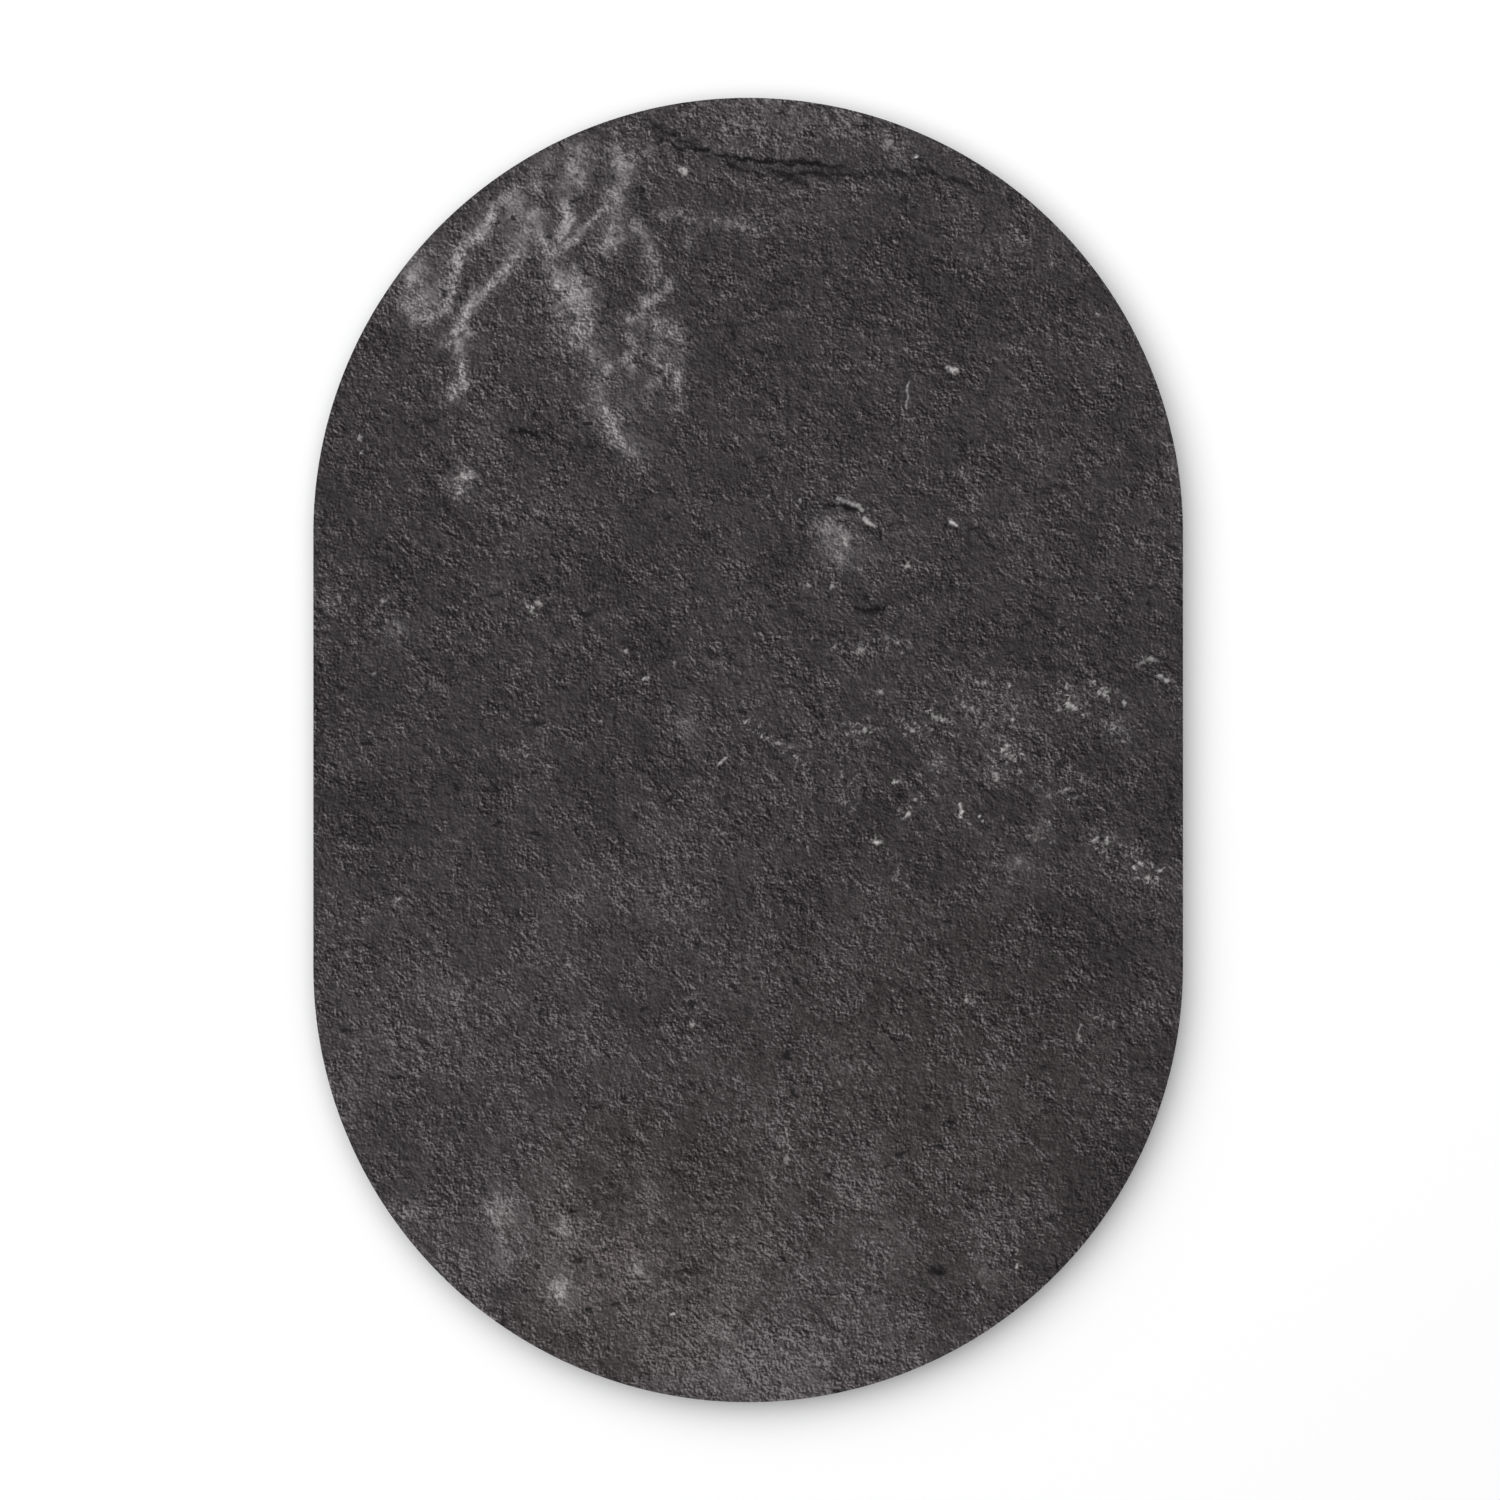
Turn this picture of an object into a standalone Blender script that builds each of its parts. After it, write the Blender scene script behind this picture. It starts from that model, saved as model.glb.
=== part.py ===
"""A flat oval wall panel faced with riven basalt, hung out of sight on a pair of Z rails.

Metres, +Z up. The wall is the plane y = 0, the stone looks along -Y, and the origin is the
middle of the wall rail's back face. Depths below are distances in front of the wall. The
layers of the panel share one outline, because the finished sandwich is cut in one pass.
"""

from math import cos, pi, sin

import bmesh
import bpy

# Outline of the panel: straight sides between two half-round ends.
PANEL_WIDTH = 0.400
PANEL_HEIGHT = 0.600
RAIL_BELOW_TOP = 0.150  # from the panel's top edge down to the middle of the wall rail
SPACER_ABOVE_BOTTOM = 0.150  # from the panel's bottom edge up to the middle of the spacer rail

# Layers of the panel, from its back to its face.
REAR_SKIN = 0.0005
CORE = 0.0030
FRONT_SKIN = 0.0005
GLASS_BACKING = 0.0005
STONE = 0.0030

# Z rails: a flat web, a square step and a lip.
RAIL_THICKNESS = 0.0020
RAIL_CORNER = 0.0002
WALL_RAIL_LENGTH = 0.200
WALL_RAIL_WEB = 0.026
WALL_RAIL_LIP = 0.010
CHANNEL_HEIGHT = 0.010  # shallow channel in the wall rail's back, along the screws
CHANNEL_DEPTH = 0.0005
HOOK_RAIL_LENGTH = 0.240
HOOK_RAIL_WEB = 0.022
HOOK_TIP_CLEARANCE = 0.0013  # from the hook's tip down to the wall rail's step

# Spacer rail, bumpers and bonding tape on the back of the panel.
SPACER_LENGTH = 0.240
SPACER_HEIGHT = 0.020
SPACER_THICKNESS = 0.0020
BUMPER_DIAMETER = 0.014
BUMPER_EDGE = 0.0006
BUMPER_SPACING = 0.180
TAPE_THICKNESS = 0.0010
TAPE_MARGIN = 0.0010  # bare rail left around the tape

# Fixings in the wall.
SCREW_SPACING = 0.080
SCREW_ROW_DROP = 0.006  # from the middle of the web down to the screws
SCREW_DIAMETER = 0.0040
SCREW_LENGTH = 0.040
SCREW_POINT = 0.005
HEAD_OVERHANG = 0.0020  # of the head past the shank, all round
HEAD_HEIGHT = 0.0024
HEAD_SIDE = 0.0008  # straight side of the head, below its domed top
HEAD_DOME = 0.0018  # how far in from the head's side the dome runs
RECESS_ARM = 0.0042
RECESS_WIDTH = 0.0010
RECESS_DEPTH = 0.0013
SLOT_TRAVEL = 0.0040  # how far a screw can shift along its slot
WASHER_BAND = 0.0022  # from the washer's hole to its rim
WASHER_THICKNESS = 0.0008
PLUG_WALL = 0.0007
PLUG_LENGTH = 0.030
PLUG_RIBS = 6
PLUG_RIB_DEPTH = 0.0003
PLUG_RIB_BACK = 0.0005  # the short slope behind each rib

# Fits.
CONTACT_GAP = 0.0003  # between two pieces that touch
SLIDE_CLEARANCE = 0.0005  # on each side of the hook's lip in the pocket
BOLT_CLEARANCE = 0.0003  # around a screw in its slot, its washer or its plug
CUT_OVERRUN = 0.001  # how far a cutter reaches past what it cuts
MERGE_DISTANCE = 1e-6

# Facets of the round shapes.
END_STEPS = 72
SLOT_STEPS = 10
DOME_STEPS = 4
TURNED_STEPS = 32

# Heights and depths that follow.
PANEL_MIDDLE = RAIL_BELOW_TOP - PANEL_HEIGHT / 2
SPACER_MIDDLE = RAIL_BELOW_TOP - PANEL_HEIGHT + SPACER_ABOVE_BOTTOM
RAIL_POCKET = RAIL_THICKNESS + 2 * SLIDE_CLEARANCE  # from the wall to the wall rail's lip
RAILS_FRONT = RAIL_POCKET + RAIL_THICKNESS
TAPE_BACK = RAILS_FRONT + CONTACT_GAP
PANEL_BACK = TAPE_BACK + TAPE_THICKNESS + CONTACT_GAP
STEP_TOP = WALL_RAIL_WEB / 2
LIP_TOP = STEP_TOP + WALL_RAIL_LIP
HOOK_STEP = LIP_TOP + CONTACT_GAP
HOOK_MIDDLE = HOOK_STEP + HOOK_RAIL_WEB / 2
HOLE_RADIUS = SCREW_DIAMETER / 2 + BOLT_CLEARANCE


def clear_scene():
    """Removes the objects the scene starts with."""
    for obj in list(bpy.data.objects):
        bpy.data.objects.remove(obj, do_unlink=True)


def finish(name, colour, roughness, metallic=0.0):
    """A plain Principled material."""
    material = bpy.data.materials.new(name)
    material.use_nodes = True
    shader = material.node_tree.nodes["Principled BSDF"]
    shader.inputs["Base Color"].default_value = (*colour, 1.0)
    shader.inputs["Roughness"].default_value = roughness
    shader.inputs["Metallic"].default_value = metallic
    return material


def group(name):
    """An empty at the origin that the pieces of one body hang from."""
    empty = bpy.data.objects.new(name, None)
    bpy.context.scene.collection.objects.link(empty)
    return empty


def object_from(bm, name, material=None, parent=None, place=(0, 0, 0)):
    """Turns a bmesh into an object whose faces point out."""
    bmesh.ops.recalc_face_normals(bm, faces=bm.faces)
    mesh = bpy.data.meshes.new(name)
    bm.to_mesh(mesh)
    bm.free()
    if material:
        mesh.materials.append(material)
    obj = bpy.data.objects.new(name, mesh)
    obj.location = place
    obj.parent = parent
    bpy.context.scene.collection.objects.link(obj)
    return obj


def prism(outline, travel):
    """A bmesh of a flat outline carried along travel."""
    bm = bmesh.new()
    face = bm.faces.new([bm.verts.new(point) for point in outline])
    carried = bmesh.ops.extrude_face_region(bm, geom=[face])["geom"]
    moved = [item for item in carried if isinstance(item, bmesh.types.BMVert)]
    bmesh.ops.translate(bm, verts=moved, vec=travel)
    return bm


def turned(profile, closed):
    """A bmesh of (radius, y) points spun about the Y axis; a closed profile makes a ring."""
    bm = bmesh.new()
    points = [bm.verts.new((radius, y, 0)) for radius, y in profile]
    pairs = list(zip(points, points[1:]))
    if closed:
        pairs.append((points[-1], points[0]))
    edges = [bm.edges.new(pair) for pair in pairs]
    bmesh.ops.spin(
        bm, geom=points + edges, cent=(0, 0, 0), axis=(0, 1, 0),
        angle=2 * pi, steps=TURNED_STEPS, use_merge=True,
    )
    bmesh.ops.remove_doubles(bm, verts=bm.verts, dist=MERGE_DISTANCE)
    return bm


def stadium(wide, high, steps):
    """An outline in the XZ plane with straight sides and half-round ends."""
    radius = min(wide, high) / 2
    side, rise = wide / 2 - radius, high / 2 - radius
    start = 0 if high >= wide else -pi / 2
    points = []
    for end, turn in ((1, start), (-1, start + pi)):
        for step in range(steps + 1):
            angle = turn + pi * step / steps
            points.append((end * side + radius * cos(angle), 0, end * rise + radius * sin(angle)))
    return points


def rectangle(wide, high):
    """A rectangle in the XZ plane about the origin."""
    x, z = wide / 2, high / 2
    return [(x, 0, z), (-x, 0, z), (-x, 0, -z), (x, 0, -z)]


def cross(arm, width):
    """A plus sign in the XZ plane about the origin."""
    a, w = arm / 2, width / 2
    corners = [(a, -w), (a, w), (w, w)]
    points = []
    for quarter in range(4):
        c, s = round(cos(quarter * pi / 2)), round(sin(quarter * pi / 2))
        points += [(c * x - s * z, 0, s * x + c * z) for x, z in corners]
    return points


def round_edges(obj, width, segments=2):
    """Rounds every sharp edge of a piece."""
    bevel = obj.modifiers.new("rounded_edges", "BEVEL")
    bevel.width = width
    bevel.segments = segments
    bevel.limit_method = "ANGLE"
    bevel.angle_limit = pi / 4


def cut(obj, cutter):
    """Takes the cutter's shape out of a piece."""
    cutter.hide_render = True
    cutter.display_type = "WIRE"
    boolean = obj.modifiers.new(cutter.name, "BOOLEAN")
    boolean.operation = "DIFFERENCE"
    boolean.solver = "EXACT"
    boolean.object = cutter


def shade_round(obj):
    """Smooth shading that keeps the corners crisp."""
    obj.data.shade_smooth()
    obj.data.set_sharp_from_angle(angle=pi / 6)


def make_panel_layers(panel):
    """The five sheets of the sandwich, each a gap in front of the one behind it."""
    layers = [
        ("rear_skin", REAR_SKIN, finish("mill_aluminium", (0.55, 0.56, 0.57), 0.35, 1.0)),
        ("core", CORE, finish("black_polyethylene", (0.012, 0.012, 0.013), 0.55)),
        ("front_skin", FRONT_SKIN, finish("primed_aluminium", (0.50, 0.51, 0.52), 0.45, 1.0)),
        ("glass_backing", GLASS_BACKING, finish("glass_and_resin", (0.30, 0.29, 0.24), 0.50)),
        ("stone_face", STONE, finish("riven_basalt", (0.055, 0.050, 0.052), 0.90)),
    ]
    depth = PANEL_BACK
    for name, thickness, material in layers:
        sheet = prism(stadium(PANEL_WIDTH, PANEL_HEIGHT, END_STEPS), (0, -thickness, 0))
        object_from(sheet, name, material, panel, (0, -depth, PANEL_MIDDLE))
        depth += thickness + CONTACT_GAP


def make_hook_rail(panel, metal):
    """The panel's half of the hanger: its lip drops behind the wall rail's lip."""
    lip_back = SLIDE_CLEARANCE
    lip_front = SLIDE_CLEARANCE + RAIL_THICKNESS
    tip = STEP_TOP + HOOK_TIP_CLEARANCE
    top = HOOK_STEP + HOOK_RAIL_WEB
    corners = [
        (lip_back, tip), (lip_front, tip), (lip_front, HOOK_STEP), (RAILS_FRONT, HOOK_STEP),
        (RAILS_FRONT, top), (RAIL_POCKET, top), (RAIL_POCKET, HOOK_STEP + RAIL_THICKNESS),
        (lip_back, HOOK_STEP + RAIL_THICKNESS),
    ]
    outline = [(-HOOK_RAIL_LENGTH / 2, -depth, height) for depth, height in corners]
    rail = object_from(prism(outline, (HOOK_RAIL_LENGTH, 0, 0)), "hook_rail", metal, panel)
    round_edges(rail, RAIL_CORNER)


def make_wall_rail(wall, metal):
    """The wall's half of the hanger: a web on the wall, a step and a lip that stands up.

    The channel in its back keeps the plugs' ends and the plaster raised by drilling off the rail.
    """
    low, high = -WALL_RAIL_WEB / 2, STEP_TOP
    channel_low = -SCREW_ROW_DROP - CHANNEL_HEIGHT / 2
    channel_high = -SCREW_ROW_DROP + CHANNEL_HEIGHT / 2
    corners = [
        (0, low), (RAIL_THICKNESS, low), (RAIL_THICKNESS, high - RAIL_THICKNESS),
        (RAILS_FRONT, high - RAIL_THICKNESS), (RAILS_FRONT, LIP_TOP), (RAIL_POCKET, LIP_TOP),
        (RAIL_POCKET, high), (0, high), (0, channel_high), (CHANNEL_DEPTH, channel_high),
        (CHANNEL_DEPTH, channel_low), (0, channel_low),
    ]
    outline = [(-WALL_RAIL_LENGTH / 2, -depth, height) for depth, height in corners]
    rail = object_from(prism(outline, (WALL_RAIL_LENGTH, 0, 0)), "wall_rail", metal, wall)
    round_edges(rail, RAIL_CORNER)
    for side, x in screw_places():
        slot = stadium(2 * HOLE_RADIUS + SLOT_TRAVEL, 2 * HOLE_RADIUS, SLOT_STEPS)
        reach = RAIL_THICKNESS + 2 * CUT_OVERRUN
        place = (x, CUT_OVERRUN, -SCREW_ROW_DROP)
        cut(rail, object_from(prism(slot, (0, -reach, 0)), f"slot_cutter_{side}", place=place))


def make_spacer_rail(panel, metal):
    """A flat bar low on the panel that holds it parallel to the wall, on two bumpers."""
    bar = prism(rectangle(SPACER_LENGTH, SPACER_HEIGHT), (0, SPACER_THICKNESS, 0))
    spacer = object_from(bar, "spacer_rail", metal, panel, (0, -RAILS_FRONT, SPACER_MIDDLE))
    round_edges(spacer, RAIL_CORNER)
    rubber = finish("black_rubber", (0.020, 0.020, 0.021), 0.75)
    thickness = RAILS_FRONT - SPACER_THICKNESS - CONTACT_GAP
    radius = BUMPER_DIAMETER / 2
    profile = [
        (0, 0), (radius - BUMPER_EDGE, 0), (radius, -BUMPER_EDGE), (radius, -thickness), (0, -thickness),
    ]
    for side, x in (("left", -BUMPER_SPACING / 2), ("right", BUMPER_SPACING / 2)):
        bumper = turned(profile, closed=False)
        shade_round(object_from(bumper, f"bumper_{side}", rubber, panel, (x, 0, SPACER_MIDDLE)))


def make_tapes(panel):
    """The foam tape that bonds each rail to the back of the panel."""
    foam = finish("acrylic_foam", (0.16, 0.16, 0.165), 0.80)
    strips = [
        ("hook_rail_tape", HOOK_RAIL_LENGTH, HOOK_RAIL_WEB, HOOK_MIDDLE),
        ("spacer_rail_tape", SPACER_LENGTH, SPACER_HEIGHT, SPACER_MIDDLE),
    ]
    for name, length, height, middle in strips:
        outline = rectangle(length - 2 * TAPE_MARGIN, height - 2 * TAPE_MARGIN)
        strip = prism(outline, (0, -TAPE_THICKNESS, 0))
        object_from(strip, name, foam, panel, (0, -TAPE_BACK, middle))


def screw_places():
    """The name and the x position of each fixing along the wall rail."""
    return [("left", -SCREW_SPACING), ("middle", 0.0), ("right", SCREW_SPACING)]


def make_washer(side, x, wall, steel):
    """A flat washer that bridges the slot."""
    rim = HOLE_RADIUS + WASHER_BAND
    back = -(RAIL_THICKNESS + CONTACT_GAP)
    front = back - WASHER_THICKNESS
    section = [(HOLE_RADIUS, back), (rim, back), (rim, front), (HOLE_RADIUS, front)]
    ring = turned(section, closed=True)
    shade_round(object_from(ring, f"washer_{side}", steel, wall, (x, 0, -SCREW_ROW_DROP)))


def make_screw(side, x, wall, steel):
    """A pan-head screw through washer, slot and plug."""
    seat = -(RAIL_THICKNESS + WASHER_THICKNESS + 2 * CONTACT_GAP)
    crown = seat - HEAD_HEIGHT
    tip = seat + SCREW_LENGTH
    shank = SCREW_DIAMETER / 2
    head = shank + HEAD_OVERHANG
    profile = [(0, crown)]
    for step in range(DOME_STEPS + 1):
        turn = pi / 2 * step / DOME_STEPS
        inset, drop = HEAD_DOME * (1 - sin(turn)), (HEAD_HEIGHT - HEAD_SIDE) * (1 - cos(turn))
        profile.append((head - inset, crown + drop))
    profile += [(head, seat), (shank, seat), (shank, tip - SCREW_POINT), (0, tip)]
    place = (x, 0, -SCREW_ROW_DROP)
    screw = object_from(turned(profile, closed=False), f"wall_screw_{side}", steel, wall, place)
    shade_round(screw)
    recess = prism(cross(RECESS_ARM, RECESS_WIDTH), (0, RECESS_DEPTH + CUT_OVERRUN, 0))
    cutter_place = (x, crown - CUT_OVERRUN, -SCREW_ROW_DROP)
    cut(screw, object_from(recess, f"recess_cutter_{side}", place=cutter_place))


def make_plug(side, x, wall, nylon):
    """A ribbed nylon sleeve, flush with the wall and open at both ends, around the screw."""
    rib_top = HOLE_RADIUS + PLUG_WALL
    pitch = PLUG_LENGTH / PLUG_RIBS
    profile = [(HOLE_RADIUS, 0)]
    for rib in range(PLUG_RIBS):
        start = rib * pitch
        profile += [(rib_top, start), (rib_top - PLUG_RIB_DEPTH, start + pitch - PLUG_RIB_BACK)]
    profile.append((HOLE_RADIUS, PLUG_LENGTH))
    sleeve = turned(profile, closed=True)
    shade_round(object_from(sleeve, f"wall_plug_{side}", nylon, wall, (x, 0, -SCREW_ROW_DROP)))


def main():
    """Builds the panel and its hanger."""
    clear_scene()
    panel = group("panel_lift")
    wall = group("wall_side")
    metal = finish("anodised_aluminium", (0.62, 0.63, 0.64), 0.38, 1.0)
    steel = finish("zinc_plated_steel", (0.60, 0.61, 0.63), 0.30, 1.0)
    nylon = finish("grey_nylon", (0.22, 0.23, 0.24), 0.55)
    make_panel_layers(panel)
    make_hook_rail(panel, metal)
    make_spacer_rail(panel, metal)
    make_tapes(panel)
    make_wall_rail(wall, metal)
    for side, x in screw_places():
        make_washer(side, x, wall, steel)
        make_screw(side, x, wall, steel)
        make_plug(side, x, wall, nylon)


main()
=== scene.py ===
"""Looks of an oval basalt wall panel on its Z rails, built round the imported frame.

Lengths are in metres unless a name ends in _mm. The wall is the plane y = 0 and the stone faces -Y.
Marks on the stone are placed in millimetres from the middle of its face: x to the right, z up.
"""

import logging
import math
from dataclasses import dataclass, field
from enum import Enum
from functools import cache, partial
from typing import Any, Iterable, Sequence

import bmesh
import bpy
import numpy as np
from mathutils import Matrix, Vector


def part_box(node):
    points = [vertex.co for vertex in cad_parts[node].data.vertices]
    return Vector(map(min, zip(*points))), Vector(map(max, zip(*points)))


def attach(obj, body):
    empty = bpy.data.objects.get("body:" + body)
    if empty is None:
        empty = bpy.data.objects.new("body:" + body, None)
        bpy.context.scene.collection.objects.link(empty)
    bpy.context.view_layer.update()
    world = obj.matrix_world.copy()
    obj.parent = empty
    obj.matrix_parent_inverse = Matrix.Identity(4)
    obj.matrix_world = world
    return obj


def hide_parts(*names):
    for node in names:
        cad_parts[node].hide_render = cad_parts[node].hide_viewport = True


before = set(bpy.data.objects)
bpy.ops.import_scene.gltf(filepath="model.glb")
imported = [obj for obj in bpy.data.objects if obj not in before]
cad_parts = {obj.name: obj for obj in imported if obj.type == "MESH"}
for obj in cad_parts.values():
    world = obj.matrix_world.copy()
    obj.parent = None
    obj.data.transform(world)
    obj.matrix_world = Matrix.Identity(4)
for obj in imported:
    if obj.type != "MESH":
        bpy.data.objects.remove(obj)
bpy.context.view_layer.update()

LOG = logging.getLogger("panel")
MM = 0.001
MERGE = 1e-6
FULL_TURN = 2 * math.pi
RANDOM_SIDE = 256  # values along each side of a random field's table, past which it repeats
# The names of a Mix node's colour sockets repeat, so they are taken by number.
FACTOR, COLOUR_A, COLOUR_B, MIXED = 0, 6, 7, 2


def linear(code: str) -> tuple[float, float, float, float]:
    """Turn an sRGB hex code into a linear colour.

    Args:
        code: six hex digits after a hash.

    Returns:
        Linear red, green and blue, and an alpha of 1.
    """
    shares = [int(code[i : i + 2], 16) / 255 for i in (1, 3, 5)]
    curve = [s / 12.92 if s <= 0.04045 else ((s + 0.055) / 1.055) ** 2.4 for s in shares]
    return (curve[0], curve[1], curve[2], 1.0)


def add_node(
    tree: bpy.types.NodeTree,
    kind: str,
    settings: dict[str, Any] | None = None,
    inputs: dict[str | int, Any] | None = None,
) -> bpy.types.Node:
    """Add a shader node with its settings and its links.

    Args:
        tree: the node tree that takes it.
        kind: Blender's node type, without "ShaderNode".
        settings: the node's own properties; "stops" fills a colour ramp with (place, hex code) pairs.
        inputs: a value, or an output socket to link, for each input socket's name or number.

    Returns:
        The new node.
    """
    node = tree.nodes.new("ShaderNode" + kind)
    for name, value in (settings or {}).items():
        if name != "stops":
            setattr(node, name, value)
            continue
        ramp = node.color_ramp.elements
        while len(ramp) < len(value):
            ramp.new(1.0)
        for stop, (place, code) in zip(ramp, value):
            stop.position = place
            stop.color = linear(code)
    for key, value in (inputs or {}).items():
        if isinstance(value, bpy.types.NodeSocket):
            tree.links.new(value, node.inputs[key])
        else:
            node.inputs[key].default_value = value
    return node


def uneven(
    x: np.ndarray, z: np.ndarray, size: float, seed: int, stretch: float = 1.0
) -> np.ndarray:
    """A smooth random field over the face, drawn out along the split's own direction.

    Args:
        x: places across the face, in millimetres.
        z: places up the face, in millimetres.
        size: distance between random values, in millimetres.
        seed: which field it is.
        stretch: how many times longer its shapes are along the grain than across it.

    Returns:
        Values of about -1 to 1, one per place.
    """
    table = np.random.default_rng(seed).uniform(-1, 1, (RANDOM_SIDE, RANDOM_SIDE))
    along = (x - z) / math.sqrt(2) / (size * stretch)
    across = (x + z) / math.sqrt(2) / size
    i, j = np.floor(along).astype(int), np.floor(across).astype(int)
    s, t = along - i, across - j
    s, t = s * s * (3 - 2 * s), t * t * (3 - 2 * t)
    i0, i1, j0, j1 = (index % RANDOM_SIDE for index in (i, i + 1, j, j + 1))
    low = table[i0, j0] * (1 - s) + table[i1, j0] * s
    high = table[i0, j1] * (1 - s) + table[i1, j1] * s
    return low * (1 - t) + high * t


# ---------------------------------------------------------------- finishes


class Finish:
    """A finish: a frozen dataclass whose dress() fills the shader of one material."""

    name: str

    def dress(self, tree: bpy.types.NodeTree, surface: bpy.types.Node) -> None:
        """Fill the material's nodes; each finish has its own."""
        raise NotImplementedError


@cache
def material_of(finish: Finish) -> bpy.types.Material:
    """Make a finish's material, once.

    Args:
        finish: the finish.

    Returns:
        Its material.
    """
    material = bpy.data.materials.new(finish.name)
    material.use_nodes = True
    tree = material.node_tree
    tree.nodes.clear()
    surface = add_node(tree, "BsdfPrincipled")
    add_node(tree, "OutputMaterial", inputs={"Surface": surface.outputs["BSDF"]})
    finish.dress(tree, surface)
    return material


@dataclass(frozen=True)
class RivenBasalt(Finish):
    """Basalt split along its bed, dry and unsealed.

    Splitting leaves a matt face of crests a little over 1 mm apart on lumps of about 4 mm. Crests
    are pale with dust and bruised mineral, and hollows are coloured nearly black, partly the stone's
    own dark mineral and partly painted shade. The grain's tone also carries painted light and shade
    on the slopes of the crests. Damp has left chalky lime on it in streaks. Rough ground, with strong
    grain, comes and goes every 10 mm, and broad tones every 26 mm.
    """

    name: str = "riven_basalt_face"
    crest_mm: float = 1.27
    lump_mm: float = 4.0
    rough_mm: float = 10.0
    patch_mm: float = 26.0
    stretch: float = 1.1
    painted_shade_shift_mm: float = 0.8
    lump_painted_shade_shift_mm: float = 1.76
    diagonal: float = 0.707
    ground_swing: float = 0.6
    crumb_mm: float = 1.0
    clot_mm: float = 2.6
    pore_mm: float = 4.0
    tear_mm: float = 9.0
    tear_stretch: float = 1.7
    relief_mm: float = 0.45
    lump_relief: float = 1.3
    crevice_relief: float = -0.5
    grain_relief: float = 0.8
    roughness: float = 0.93
    specular: float = 0.16

    def dress(self, tree: bpy.types.NodeTree, surface: bpy.types.Node) -> None:
        """Fill the nodes of the split face.

        Args:
            tree: the material's nodes.
            surface: its Principled shader.
        """
        put = partial(add_node, tree)
        place = put("TexCoord").outputs["Object"]
        fields = {}
        for key, size, detail, shift in (
            ("crest", self.crest_mm, 1.0, 0.0),
            ("crest_shifted_for_painted_shade", self.crest_mm, 1.0, self.painted_shade_shift_mm),
            ("lump", self.lump_mm, 1.5, 0.0),
            ("lump_shifted_for_painted_shade", self.lump_mm, 1.5, self.lump_painted_shade_shift_mm),
            ("patch", self.patch_mm, 3.0, 0.0),
            ("rough", self.rough_mm, 1.0, 0.0),
        ):
            # The grain runs from upper left to lower right, so the pattern is turned and drawn out. A copy
            # shifted a little to one side is taken from the grain's tone, which paints light on one slope
            # of each crest and shade on the other into the colour; the bump does not use these shifted
            # copies.
            aside = shift * MM * self.diagonal
            turned = put("Mapping", {"vector_type": "TEXTURE"}, {
                "Vector": place,
                "Location": (aside, 0.0, aside),
                "Rotation": (0.0, math.radians(45), 0.0),
                "Scale": (size * self.stretch * MM, size * MM, size * MM),
            })
            noise = put("TexNoise", {"noise_dimensions": "3D"}, {
                "Vector": turned.outputs[0], "Scale": 1.0, "Detail": detail,
                "Roughness": 0.62, "Distortion": 0.25,
            })
            fields[key] = noise.outputs["Fac"]
        held = {
            key: put("Attribute", {"attribute_name": key}).outputs["Fac"]
            for key in ("tone", "bloom", "dark", "fleck", "dust", "warm")
        }
        # Some ground is rough and some nearly smooth, so the grain's strength changes from place to place.
        rough = put("MapRange", {}, {
            "Value": fields["rough"], "From Min": 0.34, "From Max": 0.64,
            "To Min": 0.62, "To Max": 1.38,
        }).outputs[0]
        # The shifted copies weigh in below 0: the grain's tone holds painted light and shade on the slopes
        # as well as the stone's own grain.
        grain_and_painted_shade_shares = {"crest": 1.5, "crest_shifted_for_painted_shade": -0.90, "lump": 0.95, "lump_shifted_for_painted_shade": -0.50}
        grain = -0.5 * sum(grain_and_painted_shade_shares.values())
        for key, share in grain_and_painted_shade_shares.items():
            grain = put("Math", {"operation": "MULTIPLY_ADD"}, {
                0: fields[key], 1: share, 2: grain,
            }).outputs[0]
        # Tone: 0.5 is the body of the stone; broad ground, grain and marks move it up or down.
        ground = put("Math", {"operation": "MULTIPLY_ADD"}, {
            0: fields["patch"], 1: self.ground_swing, 2: 0.5 - self.ground_swing / 2,
        }).outputs[0]
        ground = put("Math", {"operation": "ADD"}, {0: ground, 1: held["tone"]}).outputs[0]
        value = put("Math", {"operation": "MULTIPLY_ADD"}, {0: grain, 1: rough, 2: ground}).outputs[0]
        # Low tones run near black: partly the stone's dark mineral, partly painted shade in the hollows.
        body = put("ValToRGB", {"stops": (
            (0.0, "#131112"), (0.27, "#272425"), (0.50, "#373435"),
            (0.68, "#474344"), (0.88, "#605c5e"), (1.0, "#777274"),
        )}, {"Fac": value}).outputs["Color"]
        colour = put("Mix", {"data_type": "RGBA", "blend_type": "MULTIPLY"}, {
            FACTOR: held["warm"], COLOUR_A: body, COLOUR_B: linear("#fff4ea"),
        }).outputs[MIXED]
        crumbs, clots = (
            put("TexNoise", {}, {
                "Vector": place, "Scale": 1 / (size * MM), "Detail": detail,
                "Roughness": 0.72, "Distortion": 0.4,
            }).outputs["Fac"]
            for size, detail in ((self.crumb_mm, 2.0), (self.clot_mm, 3.0))
        )
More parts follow.
